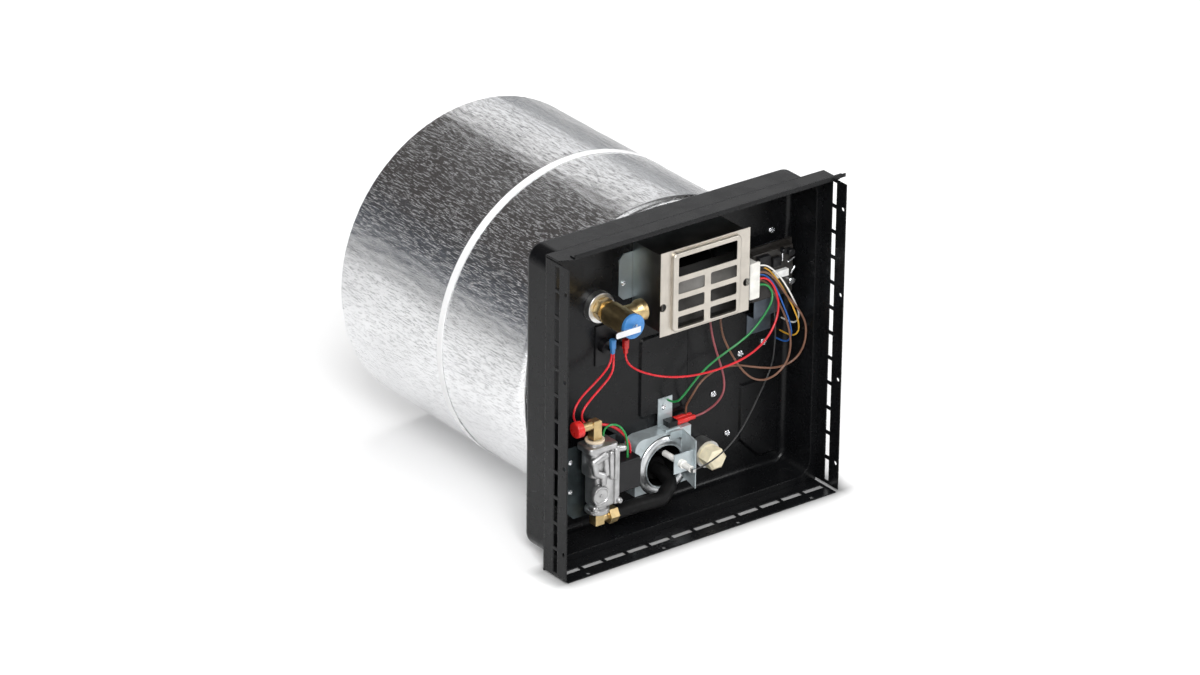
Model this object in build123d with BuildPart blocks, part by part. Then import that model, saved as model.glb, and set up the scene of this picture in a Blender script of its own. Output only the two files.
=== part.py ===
"""Gas tank water heater for a vehicle wall: a square control pan with a foil-wrapped tank behind it.

Millimetres. +X is right and +Z is up as seen from the front, and +Y runs back along the tank.
The origin lies on the underside of the bottom flange, at the middle of its row of bend slots.
"Depth" below is the distance back from the front edges of the flanges.
"""

import os
from math import cos, hypot, pi, radians, sin, tan

from build123d import *

# Square pan and its flanges
frame_size = 406.0
sheet = 1.2
flap_depth = 43.0
bend_line = 21.5
ledge = 8.5
pan_depth = 95.0
tray_corner = 20.0
draw_radius = 8.0
corner_slit = 2.0
slot_pitch = 33.0
slot_margin = 5.0
slot_length = 28.5
slot_width = 8.0
hole_count = 4
hole_margin = 36.5
hole_radius = 2.5
hole_edge = 5.5
top_flange_front = 14.0
top_flange_cut = 16.0
rail_start = 19.0
rail_over = 9.0
rail_foot = 9.0
rail_lip = 4.5
panel_height = 3.0
panel_slope = 40.0
panel_radius = 8.0
left_panel_share = 0.01847
left_panel_width = 73.0
left_panel_over = 15.0
left_panel_under = 32.5
right_panel_share = 0.37438
right_panel_width = 60.0
right_panel_low = 25.0
right_panel_under = 62.2
right_panel_cut = 30.0

# Clearances
gap = 0.3
slip = 0.06
pin_slip = 0.09
wrap_gap = 0.1

# Tank, its wrap and its tubes
wrap_inset = 3.8
wrap_rear = 460.0
foil = 0.8
insulation = 9.0
tank_wall = 2.5
tank_corner = 25.0
strap_thick = 0.8
strap_width = 10.0
strap_depth = 257.0
flue_radius = 36.5
flue_wall = 1.5
flue_rear_room = 20.0
burner_share = -0.01478
burner_clear = 19.7
mouth_room = 3.0
exhaust_shift = 2.5
exhaust_clear = 40.4
exhaust_mouth = 70.0
port_radius = 14.0
port_bore = 9.5
port_reach = 12.0
port_spread = 250.0

# Exhaust box and grille
galvanised = 1.0
box_width = 125.0
box_height = 98.0
box_reach = 57.0
box_share = 0.05542
box_lift = 0.5
tab_width = 20.5
tab_height = 59.0
tab_cut = 7.0
tab_drop = 6.0
plate_width = 131.0
plate_height = 107.0
grille_sheet = 1.0
grille_raise = 5.0
grille_border_width = 100.0
grille_border_height = 101.0
grille_corner = 7.0
grille_soft_edge = 2.5
window_width = 86.0
window_top_height = 24.5
window_row_height = 15.4
window_rows = 3
window_bar = 6.8
window_mullion = 9.0
window_corner = 2.0
window_edge = 6.0
notch_radius = 5.0
notch_inset = 4.0
notch_drop = 16.5
baffle_low = 8.0
baffle_rise = 62.0
baffle_lean = 16.0

# Relief valve
relief_room = 51.5
relief_clear = 96.9
spud_radius = 19.0
spud_reach = 10.0
relief_thread = 13.3
relief_engage = 14.0
relief_hex = 25.0
relief_hex_long = 10.0
relief_neck = 11.0
relief_neck_long = 8.0
relief_body = 15.0
relief_body_long = 39.8
outlet_back = 11.0
outlet_radius = 10.2
outlet_lip = 13.0
outlet_flare = 12.0
outlet_reach = 37.0
outlet_bore = 8.6
outlet_deep = 22.0
relief_cavity = 8.0
relief_seat = 6.0
relief_seat_long = 4.0
bonnet = 4.0
cap_radius = 15.2
cap_thick = 4.5
stem_radius = 2.2
pin_radius = 1.2
pin_length = 9.6
pin_front = 4.0
stem_nose = 1.4
disc_radius = 7.0
disc_thick = 3.5
probe_radius = 4.0
probe_long = 100.0
lever_width = 7.6
lever_sheet = 1.2
lever_long = 32.5
lever_heel = 3.0
lever_offset = 3.2
spring_wire = 1.3
spring_radius = 5.4
spring_turns = 6

# Drain
drain_share = 0.15640
drain_z = 60.3
drain_spud = 17.0
drain_reach = 17.8
drain_thread = 13.3
drain_engage = 15.0
drain_hex = 24.5
drain_head = 20.0
drain_crown = 3.0

# Thermostat
stat_side = 18.6
stat_drop = 53.0
stat_plate_width = 42.0
stat_plate_height = 52.0
stat_plate = 2.0
stat_spread = 18.9
stat_radius = 8.5
stat_reach = 11.0
blade_width = 6.3
blade_thick = 0.8
blade_reach = 5.0
sleeve_radius = 3.6
sleeve_long = 18.0
sleeve_lift = 5.0

# Control board
board_share = 0.36823
board_drop = 35.5
board_width = 69.0
board_height = 70.0
board_thick = 3.0
board_stand = 14.0
potting_height = 9.0
potting_inset = 4.0
board_edge_radius = 2.0
connector_over = 2.5
connector_lift = 5.0
connector_width = 15.0
connector_long = 20.0
connector_height = 44.0
connector_lip = 1.5
bracket_sheet = 1.2
bracket_width = 36.0
bracket_drop = 24.0
bracket_foot = 28.0

# Gas valve
valve_share = -0.31650
valve_depth = 40.0
valve_low = 57.0
valve_width = 43.0
valve_deep = 30.0
flange_radius = 14.5
flange_thick = 10.0
block_height = 80.0
block_soft = 6.0
collar_radius = 10.5
collar_height = 6.0
gauge_radius = 12.0
gauge_reach = 6.0
gauge_up = 28.0
gauge_shift = 7.5
rib_width = 5.0
rib_reach = 4.0
coil_long = 30.5
coil_deep = 30.0
coil_height = 40.0
coil_up = 42.0
coil_wall = 4.0
coil_soft = 3.0
plunger_radius = 4.0
plunger_long = 22.0
plunger_travel = 2.5
plunger_spring_wire = 1.0
plunger_spring_turns = 4
elbow_side = 11.5
elbow_rise = 18.5
elbow_reach = 22.0
inlet_shift = 4.5
flare_radius = 5.5
inlet_cap_radius = 9.8
inlet_cap_long = 9.0
inlet_cap_wall = 2.0
outlet_drop = 10.0
nut_long = 12.0
nut_hex = 18.0
outlet_side = 12.5
outlet_neck = 5.5
outlet_run = 20.0
valve_bracket_width = 74.0
valve_bracket_height = 94.0
valve_bracket_low = 47.0
valve_bracket_cut = 14.0

# Burner front
manifold_radius = 9.0
manifold_bore = 7.0
manifold_bend = 20.0
burner_radius = 14.0
burner_wall = 1.2
burner_long = 120.0
burner_drop = 10.0
burner_start = 88.0
burner_slots = 7
burner_slot_pitch = 13.0
burner_slot_width = 2.5
burner_slot_long = 20.0
hood_half = 42.5
hood_corner = 12.0
hood_mouth = 26.5
rim_radius = 32.5
rim_height = 2.0
hood_side = 40.0
hood_drop = 29.5
hood_front = 72.0
hood_foot = 11.0
holder_side = 24.0
holder_front = 42.0
holder_drop = 25.5
holder_cut = 5.0
holder_rise = 8.0
holder_flange = 18.0
holder_tab = 10.0
electrode_side = 6.5
electrode_rise = 11.5
electrode_plate_depth = 48.0
electrode_plate_width = 28.0
electrode_plate_height = 25.0
ceramic_radius = 4.0
ceramic_front = 27.0
ceramic_rear = 80.0
ceramic_collar = 5.4
ceramic_collar_long = 5.0
rod_radius = 1.1
rod_spread = 2.2
rod_long = 22.0
rod_pin = 6.0
earth_side = 14.5
earth_width = 21.0
earth_rise = 36.0
earth_foot = 17.0
cutoff_width = 13.0
cutoff_deep = 13.0
cutoff_height = 7.0
cutoff_side = 17.5
spade_long = 27.0
spade_spread = 7.2
spade_radius = 3.2

# Screws on the back of the pan: shares across it, and heights from the box, the drain or the board's foot
screw_head = 4.5
screw_height = 3.0
box_screws = [(0.40887, 7.5)]
drain_screws = [(0.20567, 67.3), (0.26059, 9.1)]
board_screws = [(0.30296, -21.2), (0.38842, -15.2)]

# Leads: outside diameters
main_lead = 2.6
thin_lead = 2.0

# Places worked out from the sizes above
middle = frame_size / 2
tray = frame_size - 2 * ledge
back = pan_depth - sheet
slot_count = int((frame_size - 2 * slot_margin) // slot_pitch)
hole_pitch = (frame_size - 2 * hole_margin) / (hole_count - 1)
rail_left = -middle + rail_start
rail_right = middle + rail_over
wrap_radius = middle - wrap_inset
tank_z = wrap_radius + wrap_gap + strap_thick
blanket_radius = wrap_radius - foil - gap
tank_radius = blanket_radius - insulation - gap
blanket_rear = wrap_rear - foil
tank_rear = blanket_rear - insulation
burner_x = burner_share * frame_size
burner_mouth = hood_front + galvanised + mouth_room
burner_z = tank_z - tank_radius + flue_radius + burner_clear
box_x = box_share * frame_size
exhaust_x = box_x + exhaust_shift
exhaust_z = tank_z + tank_radius - flue_radius - exhaust_clear
box_z = exhaust_z + box_lift
relief_x = box_x - box_width / 2 - relief_room
relief_z = tank_z + tank_radius - relief_clear
drain_x = drain_share * frame_size
stat_x = relief_x + stat_side
stat_z = relief_z - stat_drop
board_x = board_share * frame_size
board_z = box_z - board_drop
connector_x = board_x - board_width / 2 - connector_over
connector_z = board_z + connector_lift
foot_low = board_z - board_height / 2 - bracket_drop - bracket_foot + bracket_sheet
valve_x = valve_share * frame_size
inlet_x = valve_x - inlet_shift
flue_half = hypot(exhaust_x - burner_x, exhaust_z - burner_z) / 2
flue_bend = tank_rear - tank_wall - flue_rear_room - flue_radius - flue_half
grille_back = back - box_reach
relief_hex_back = back - spud_reach
relief_body_back = relief_hex_back - relief_hex_long - relief_neck_long
cap_back = relief_body_back - relief_body_long
pin_depth = cap_back - cap_thick - pin_front
cavity_front = cap_back + bonnet
seat_front = relief_hex_back
drain_front = back - drain_reach
stat_front = back - stat_reach
block_low = valve_low + flange_thick
block_top = block_low + block_height
collar_top = block_top + collar_height
block_right = valve_x + valve_width / 2
block_front = valve_depth - valve_deep / 2
block_back = valve_depth + valve_deep / 2
coil_z = valve_low + coil_up
inlet_z = collar_top + elbow_rise
outlet_z = valve_low - outlet_drop
burner_axis_z = burner_z - burner_drop
hood_left = burner_x - hood_half
hood_right = burner_x + hood_side
hood_top = burner_z + hood_half
hood_low = burner_z - hood_drop
holder_x = burner_x + holder_side
holder_low = burner_z - holder_drop
holder_rear = hood_front - rim_height - gap
electrode_x = burner_x + electrode_side
electrode_z = burner_z + electrode_rise
earth_x = burner_x + earth_side
earth_top = hood_top + earth_rise
cutoff_x = burner_x + cutoff_side
panel_front = back - panel_height
left_panel_low = hood_top + left_panel_over
left_panel_high = box_z - box_height / 2 - left_panel_under
left_panel_height = left_panel_high - left_panel_low
right_panel_height = foot_low - right_panel_under - right_panel_low
screw_places = [
    (across * frame_size, start + up)
    for start, places in ((box_z, box_screws), (drain_z, drain_screws), (foot_low, board_screws))
    for across, up in places
]

os.makedirs("parts", exist_ok=True)


def facing(depth):
    """Plane that faces the front at a depth: local x is X, local y is Z."""
    return Plane(origin=(0, depth - bend_line, 0), x_dir=(1, 0, 0), z_dir=(0, -1, 0))


def side(x):
    """Plane that faces right at an X: local x is depth, local y is Z."""
    return Plane(origin=(x, -bend_line, 0), x_dir=(0, 1, 0), z_dir=(1, 0, 0))


def level(z):
    """Plane that faces up at a Z: local x is X, local y is depth."""
    return Plane(origin=(0, -bend_line, z), x_dir=(1, 0, 0), z_dir=(0, 0, 1))


def keep(piece, label):
    """Name a finished piece and write it."""
    piece.part.label = label
    export_step(piece.part, f"parts/{label}.step")


# Drawn tray with the ledge that carries the flanges
with BuildPart() as control_pan:
    with BuildSketch(facing(pan_depth)):
        with Locations((0, middle)):
            RectangleRounded(tray, tray, tray_corner)
    extrude(amount=pan_depth - flap_depth)
    fillet(control_pan.faces().sort_by(Axis.Y)[-1].edges(), radius=draw_radius)
    offset(amount=-sheet, openings=control_pan.faces().sort_by(Axis.Y)[0])
    with BuildSketch(facing(flap_depth + sheet)):
        with Locations((0, middle)):
            Rectangle(frame_size, frame_size)
            RectangleRounded(tray - 2 * sheet, tray - 2 * sheet, tray_corner - sheet, mode=Mode.SUBTRACT)
    extrude(amount=sheet)
    # Two pressed panels stand forward from the back, hollow behind
    for start, mode in ((back, Mode.ADD), (pan_depth, Mode.SUBTRACT)):
        with BuildSketch(facing(start)) as left_press:
            with Locations((left_panel_share * frame_size, left_panel_low + left_panel_height / 2)):
                RectangleRounded(left_panel_width, left_panel_height, panel_radius)
        extrude(amount=panel_height, taper=panel_slope, mode=mode)
        with BuildSketch(facing(start)) as right_press:
            with Locations((right_panel_share * frame_size, right_panel_low + right_panel_height / 2)):
                Rectangle(right_panel_width, right_panel_height)
            chamfer(right_press.vertices().group_by(Axis.Y)[0].sort_by(Axis.X)[0], length=right_panel_cut)
        extrude(amount=panel_height, taper=panel_slope, mode=mode)
    # Holes for the tubes, the spuds and the thermostat
    with BuildSketch(facing(pan_depth)):
        with Locations((burner_x, burner_z), (exhaust_x, exhaust_z)):
            Circle(flue_radius + gap)
        with Locations((relief_x, relief_z)):
            Circle(spud_radius + gap)
        with Locations((drain_x, drain_z)):
            Circle(drain_spud + gap)
        with Locations((stat_x - stat_spread / 2, stat_z), (stat_x + stat_spread / 2, stat_z)):
            Circle(stat_radius + gap)
    extrude(amount=panel_height + sheet, mode=Mode.SUBTRACT)
keep(control_pan, "control_pan")

# Side flange: the outer strip folds over at the row of slots
with BuildPart() as left_flange:
    with BuildSketch(side(-middle)):
        with Locations((flap_depth / 2, middle)):
            Rectangle(flap_depth, frame_size - 2 * (sheet + corner_slit))
        with Locations((bend_line, middle)):
            with GridLocations(1, slot_pitch, 1, slot_count):
                Rectangle(slot_width, slot_length, mode=Mode.SUBTRACT)
        with Locations((hole_edge, middle)):
            with GridLocations(1, hole_pitch, 1, hole_count):
                Circle(hole_radius, mode=Mode.SUBTRACT)
    extrude(amount=sheet)
keep(left_flange, "left_flange")

with BuildPart() as right_flange:
    mirror(left_flange.part, about=Plane.YZ)
keep(right_flange, "right_flange")

with BuildPart() as bottom_flange:
    with BuildSketch(level(0)):
        with Locations((0, flap_depth / 2)):
            Rectangle(frame_size - 2 * (sheet + corner_slit), flap_depth)
        with Locations((0, bend_line)):
            with GridLocations(slot_pitch, 1, slot_count, 1):
                Rectangle(slot_length, slot_width, mode=Mode.SUBTRACT)
        with Locations((0, hole_edge)):
            with GridLocations(hole_pitch, 1, hole_count, 1):
                Circle(hole_radius, mode=Mode.SUBTRACT)
    extrude(amount=sheet)
keep(bottom_flange, "bottom_flange")

# The top flange stops short of the bend line and carries a drip rail
with BuildPart() as top_flange:
    with BuildSketch(level(frame_size - sheet)):
        with BuildLine():
            Polyline(
                (-middle, flap_depth),
                (middle, flap_depth),
                (middle, top_flange_front),
                (-middle + top_flange_cut, top_flange_front),
                (-middle, top_flange_front + top_flange_cut / 2),
                close=True,
            )
        make_face()
    extrude(amount=sheet)
keep(top_flange, "top_flange")

with BuildPart() as drip_rail:
    with BuildSketch(side(rail_left)):
        with BuildLine():
            Polyline(
                (top_flange_front, frame_size),
                (top_flange_front + rail_foot, frame_size),
                (top_flange_front + rail_foot, frame_size + sheet),
                (top_flange_front + sheet, frame_size + sheet),
                (top_flange_front + sheet, frame_size + rail_lip),
                (top_flange_front, frame_size + rail_lip),
                close=True,
            )
        make_face()
    extrude(amount=rail_right - rail_left)
keep(drip_rail, "drip_rail")

# U-shaped flue: fired at its lower mouth, open to the exhaust box at its upper one
flue_points = [
    (burner_x, burner_mouth - bend_line, burner_z),
    (burner_x, flue_bend - bend_line, burner_z),
    ((burner_x + exhaust_x) / 2, flue_bend + flue_half - bend_line, (burner_z + exhaust_z) / 2),
    (exhaust_x, flue_bend - bend_line, exhaust_z),
    (exhaust_x, exhaust_mouth - bend_line, exhaust_z),
]
with BuildPart() as flue_tube:
    with BuildLine():
        Line(flue_points[0], flue_points[1])
        ThreePointArc(flue_points[1], flue_points[2], flue_points[3])
        Line(flue_points[3], flue_points[4])
    with BuildSketch(Plane(origin=flue_points[0], z_dir=(0, 1, 0))):
        Circle(flue_radius)
        Circle(flue_radius - flue_wall, mode=Mode.SUBTRACT)
    sweep()
keep(flue_tube, "flue_tube")

# Welded tank: its front head lies on the back of the pan
with BuildPart() as tank_room:
    with BuildSketch(facing(tank_rear - tank_wall)):
        with Locations((0, tank_z)):
            Circle(tank_radius - tank_wall)
    extrude(amount=tank_rear - pan_depth - 2 * tank_wall)
    fillet(tank_room.edges().filter_by(GeomType.CIRCLE), radius=tank_corner - tank_wall)

with BuildPart() as tank_shell:
    with BuildSketch(facing(tank_rear)):
        with Locations((0, tank_z)):
            Circle(tank_radius)
    extrude(amount=tank_rear - pan_depth)
    fillet(tank_shell.edges().filter_by(GeomType.CIRCLE), radius=tank_corner)
    add(tank_room.part, mode=Mode.SUBTRACT)
    with BuildSketch(facing(pan_depth + tank_corner)):
        with Locations((burner_x, burner_z), (exhaust_x, exhaust_z)):
            Circle(flue_radius + gap)
        with Locations((relief_x, relief_z)):
            Circle(relief_thread + gap)
        with Locations((drain_x, drain_z)):
            Circle(drain_thread + gap)
    extrude(amount=tank_corner, mode=Mode.SUBTRACT)
    with BuildSketch(facing(tank_rear)):
        with Locations((0, tank_z - port_spread / 2), (0, tank_z + port_spread / 2)):
            Circle(port_bore - tank_wall)
    extrude(amount=tank_wall, mode=Mode.SUBTRACT)
keep(tank_shell, "tank_shell")

with BuildPart() as water_fittings:
    with BuildSketch(facing(wrap_rear + port_reach)):
        with Locations((0, tank_z - port_spread / 2), (0, tank_z + port_spread / 2)):
            Circle(port_radius)
            Circle(port_bore, mode=Mode.SUBTRACT)
    extrude(amount=wrap_rear + port_reach - tank_rear)
keep(water_fittings, "water_fittings")

with BuildPart() as insulation_blanket:
    with BuildSketch(facing(blanket_rear)):
        with Locations((0, tank_z)):
            Circle(blanket_radius)
    extrude(amount=blanket_rear - pan_depth)
    with BuildSketch(facing(tank_rear)):
        with Locations((0, tank_z)):
            Circle(tank_radius + gap)
    extrude(amount=tank_rear - pan_depth, mode=Mode.SUBTRACT)
    with BuildSketch(facing(blanket_rear)):
        with Locations((0, tank_z - port_spread / 2), (0, tank_z + port_spread / 2)):
            Circle(port_radius + gap)
    extrude(amount=insulation, mode=Mode.SUBTRACT)
keep(insulation_blanket, "insulation_blanket")

with BuildPart() as foil_jacket:
    with BuildSketch(facing(wrap_rear)):
        with Locations((0, tank_z)):
            Circle(wrap_radius)
    extrude(amount=wrap_rear - pan_depth)
    with BuildSketch(facing(blanket_rear)):
        with Locations((0, tank_z)):
            Circle(wrap_radius - foil)
    extrude(amount=blanket_rear - pan_depth, mode=Mode.SUBTRACT)
    with BuildSketch(facing(wrap_rear)):
        with Locations((0, tank_z - port_spread / 2), (0, tank_z + port_spread / 2)):
            Circle(port_radius + gap)
    extrude(amount=foil, mode=Mode.SUBTRACT)
keep(foil_jacket, "foil_jacket")

with BuildPart() as tank_strap:
    with BuildSketch(facing(strap_depth + strap_width / 2)):
        with Locations((0, tank_z)):
            Circle(wrap_radius + wrap_gap + strap_thick)
            Circle(wrap_radius + wrap_gap, mode=Mode.SUBTRACT)
    extrude(amount=strap_width)
keep(tank_strap, "tank_strap")

# Exhaust box with a screwed tab each side, and a leaning baffle inside
with BuildPart() as exhaust_box:
    with BuildSketch(facing(back)):
        with Locations((box_x, box_z)):
            Rectangle(box_width, box_height)
            Rectangle(box_width - 2 * galvanised, box_height - 2 * galvanised, mode=Mode.SUBTRACT)
    extrude(amount=box_reach)
    for hand in (-1, 1):
        with BuildSketch(facing(back)) as tab:
            with Locations((box_x + hand * (box_width + tab_width) / 2, box_z + tab_drop)):
                Rectangle(tab_width, tab_height)
            chamfer(tab.vertices().sort_by(Axis.X)[:2] if hand < 0 else tab.vertices().sort_by(Axis.X)[-2:],
                    length=tab_cut)
        extrude(amount=galvanised)
keep(exhaust_box, "exhaust_box")

baffle_floor = box_z - box_height / 2 + galvanised
with BuildPart() as exhaust_baffle:
    with BuildSketch(side(box_x - box_width / 2 + galvanised + gap)):
        with BuildLine():
            Polyline(
                (grille_back + baffle_low, baffle_floor),
                (grille_back + baffle_low + galvanised, baffle_floor),
                (grille_back + baffle_low + baffle_lean + galvanised, baffle_floor + baffle_rise),
                (grille_back + baffle_low + baffle_lean, baffle_floor + baffle_rise),
                close=True,
            )
        make_face()
    extrude(amount=box_width - 2 * (galvanised + gap))
keep(exhaust_baffle, "exhaust_baffle")

# Pressed grille: one wide window over rows of paired ones
window_top = box_z + grille_border_height / 2 - window_edge
rows_top = window_top - window_top_height - window_bar
pane_width = (window_width - window_mullion) / 2
with BuildPart() as exhaust_grille:
    with BuildSketch(facing(grille_back)):
        with Locations((box_x, box_z)):
            Rectangle(plate_width, plate_height)
        for edge in (-1, 1):
            with Locations((box_x + edge * (plate_width / 2 - notch_inset), box_z - notch_drop)):
                Circle(notch_radius, mode=Mode.SUBTRACT)
    extrude(amount=grille_sheet)
    with BuildSketch(facing(grille_back - grille_sheet)):
        with Locations((box_x, box_z)):
            RectangleRounded(grille_border_width, grille_border_height, grille_corner)
    extrude(amount=grille_raise)
    fillet(exhaust_grille.faces().sort_by(Axis.Y)[0].edges(), radius=grille_soft_edge)
    with BuildSketch(facing(grille_back)):
        with Locations((box_x, box_z)):
            RectangleRounded(
                grille_border_width - 2 * grille_soft_edge,
                grille_border_height - 2 * grille_soft_edge,
                grille_corner - grille_soft_edge,
            )
    extrude(amount=grille_raise, mode=Mode.SUBTRACT)
    with BuildSketch(facing(grille_back)):
        with Locations((box_x, window_top - window_top_height / 2)):
            RectangleRounded(window_width, window_top_height, window_corner)
        for row in range(window_rows):
            row_z = rows_top - row * (window_row_height + window_bar) - window_row_height / 2
            with Locations((box_x, row_z)):
                with GridLocations(pane_width + window_mullion, 1, 2, 1):
                    RectangleRounded(pane_width, window_row_height, window_corner)
    extrude(amount=grille_raise + grille_sheet, mode=Mode.SUBTRACT)
keep(exhaust_grille, "exhaust_grille")

# Relief valve: spud on the tank, brass body with a side outlet, cap, lever and stem
with BuildPart() as relief_spud:
    with BuildSketch(facing(pan_depth)):
        with Locations((relief_x, relief_z)):
            Circle(spud_radius)
            Circle(relief_thread + gap, mode=Mode.SUBTRACT)
    extrude(amount=pan_depth - relief_hex_back)
    fillet(relief_spud.faces().sort_by(Axis.Y)[0].edges().sort_by(SortBy.RADIUS)[-1], radius=sheet)
keep(relief_spud, "relief_spud")

with BuildPart() as relief_valve_body:
    with BuildSketch(facing(pan_depth + relief_engage)):
        with Locations((relief_x, relief_z)):
            Circle(relief_thread)
    extrude(amount=pan_depth + relief_engage - relief_hex_back)
    with BuildSketch(facing(relief_hex_back)):
        with Locations((relief_x, relief_z)):
            RegularPolygon(relief_hex / 2, 6, major_radius=False)
    extrude(amount=relief_hex_long)
    with BuildSketch(facing(relief_hex_back - relief_hex_long)):
        with Locations((relief_x, relief_z)):
            Circle(relief_neck)
    extrude(amount=relief_neck_long)
    with BuildSketch(facing(relief_body_back)):
        with Locations((relief_x, relief_z)):
            Circle(relief_body)
    extrude(amount=relief_body_long)
    # Side outlet that swells into a lip
    with BuildSketch(Plane(origin=(relief_x, relief_body_back - outlet_back - bend_line, relief_z))):
        with BuildLine():
            Polyline(
                (0, 0),
                (0, outlet_radius),
                (outlet_reach - outlet_flare, outlet_radius),
                (outlet_reach - outlet_flare / 2, outlet_lip),
                (outlet_reach, outlet_lip),
                (outlet_reach, 0),
                close=True,
            )
        make_face()
    revolve(axis=Axis((relief_x, relief_body_back - outlet_back - bend_line, relief_z), (1, 0, 0)))
    with BuildSketch(side(relief_x + outlet_reach)):
        with Locations((relief_body_back - outlet_back, relief_z)):
            Circle(outlet_bore)
    extrude(amount=-outlet_deep, mode=Mode.SUBTRACT)
    # Bore for the stem, with a seat for the disc
    with BuildSketch(facing(pan_depth + relief_engage)):
        with Locations((relief_x, relief_z)):
            Circle(relief_cavity)
    extrude(amount=pan_depth + relief_engage - seat_front - relief_seat_long, mode=Mode.SUBTRACT)
    with BuildSketch(facing(seat_front + relief_seat_long)):
        with Locations((relief_x, relief_z)):
            Circle(relief_seat)
    extrude(amount=relief_seat_long, mode=Mode.SUBTRACT)
    with BuildSketch(facing(seat_front)):
        with Locations((relief_x, relief_z)):
            Circle(relief_cavity)
    extrude(amount=seat_front - cavity_front, mode=Mode.SUBTRACT)
    with BuildSketch(facing(cavity_front)):
        with Locations((relief_x, relief_z)):
            Circle(stem_radius + slip)
    extrude(amount=bonnet, mode=Mode.SUBTRACT)
keep(relief_valve_body, "relief_valve_body")

with BuildPart() as relief_cap:
    with BuildSketch(facing(cap_back)):
        with Locations((relief_x, relief_z)):
            Circle(cap_radius)
            Circle(stem_radius + slip, mode=Mode.SUBTRACT)
    extrude(amount=cap_thick)
    fillet(relief_cap.faces().sort_by(Axis.Y)[0].edges().sort_by(SortBy.RADIUS)[-1], radius=sheet)
keep(relief_cap, "relief_cap")

with BuildPart() as relief_stem:
    with BuildSketch(facing(seat_front - gap - disc_thick)):
        with Locations((relief_x, relief_z)):
            Circle(stem_radius)
    extrude(amount=seat_front - gap - disc_thick - pin_depth + stem_nose)
    with BuildSketch(facing(seat_front - gap)):
        with Locations((relief_x, relief_z)):
            Circle(disc_radius)
    extrude(amount=disc_thick)
    with BuildSketch(facing(seat_front - gap + probe_long)):
        with Locations((relief_x, relief_z)):
            Circle(probe_radius)
    extrude(amount=probe_long)
    with BuildSketch(level(relief_z - pin_length / 2)):
        with Locations((relief_x, pin_depth)):
            Circle(pin_radius)
    extrude(amount=pin_length)
keep(relief_stem, "relief_stem")

with BuildPart() as relief_lever:
    # Flat web, then an ear each side that turns on the pin
    lever_back = pin_depth - lever_offset
    with BuildSketch(facing(lever_back)) as web:
        with Locations((relief_x + (lever_heel - lever_long) / 2, relief_z)):
            Rectangle(lever_heel + lever_long, lever_width)
        fillet(web.vertices().sort_by(Axis.X)[:2], radius=lever_width / 3)
    extrude(amount=lever_sheet)
    for ear_low in (relief_z - lever_width / 2, relief_z + lever_width / 2 - lever_sheet):
        with BuildSketch(level(ear_low)):
            with Locations((relief_x, pin_depth)):
                Circle(lever_heel)
            with Locations((relief_x, (pin_depth + lever_back - lever_sheet) / 2)):
                Rectangle(2 * lever_heel, pin_depth - lever_back + lever_sheet)
            with Locations((relief_x, pin_depth)):
                Circle(pin_radius + pin_slip, mode=Mode.SUBTRACT)
        extrude(amount=lever_sheet)
keep(relief_lever, "relief_lever")


def coil_path(start, along, across, radius, length, turns):
    """Points of a helix, a quarter turn each, with the point half way between them."""
    up = along.cross(across)
    steps = 8 * turns
    return [
        start
        + along * (length * step / steps)
        + across * (radius * cos(2 * pi * turns * step / steps))
        + up * (radius * sin(2 * pi * turns * step / steps))
        for step in range(steps + 1)
    ]


def coil_gap(points, wire, turns):
    """Least gap between neighbouring turns of a coil, from its points."""
    lap = (len(points) - 1) // turns
    return min((points[i + lap] - points[i]).length for i in range(len(points) - lap)) - wire


spring_long = seat_front - gap - disc_thick - cavity_front - 2 * gap - spring_wire
relief_coil = coil_path(
    Vector(relief_x, cavity_front + gap + spring_wire / 2 - bend_line, relief_z),
    Vector(0, 1, 0),
    Vector(1, 0, 0),
    spring_radius,
    spring_long,
    spring_turns,
)
print("relief spring gap", round(coil_gap(relief_coil, spring_wire, spring_turns), 2))
with BuildPart() as relief_spring:
    with BuildLine():
        for step in range(0, len(relief_coil) - 1, 2):
            ThreePointArc(relief_coil[step], relief_coil[step + 1], relief_coil[step + 2])
    with BuildSketch(Plane(origin=relief_coil[0], z_dir=relief_coil[1] - relief_coil[0])):
        Circle(spring_wire / 2)
    sweep()
keep(relief_spring, "relief_spring")

# Drain: spud on the tank and a hexagon plug that unscrews
with BuildPart() as drain_spud_ring:
    with BuildSketch(facing(pan_depth)):
        with Locations((drain_x, drain_z)):
            Circle(drain_spud)
            Circle(drain_thread + slip, mode=Mode.SUBTRACT)
    extrude(amount=pan_depth - drain_front)
keep(drain_spud_ring, "drain_spud")

with BuildPart() as drain_plug:
    with BuildSketch(facing(drain_front + drain_engage)):
        with Locations((drain_x, drain_z)):
            Circle(drain_thread)
    extrude(amount=drain_engage + gap)
    with BuildSketch(facing(drain_front - gap)):
        with Locations((drain_x, drain_z)):
            RegularPolygon(drain_hex / 2, 6, major_radius=False)
    extrude(amount=drain_head)
    chamfer(drain_plug.faces().sort_by(Axis.Y)[0].edges(), length=drain_crown)
keep(drain_plug, "drain_plug")

# Thermostat and limit switch, held on the tank by one plate
stat_centres = [(stat_x - stat_spread / 2, stat_z), (stat_x + stat_spread / 2, stat_z)]
with BuildPart() as thermostat_plate:
    with BuildSketch(facing(back)):
        with Locations((stat_x, stat_z)):
            RectangleRounded(stat_plate_width, stat_plate_height, stat_plate)
        with Locations(*stat_centres):
            Circle(stat_radius + gap, mode=Mode.SUBTRACT)
    extrude(amount=stat_plate)
keep(thermostat_plate, "thermostat_plate")

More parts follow.
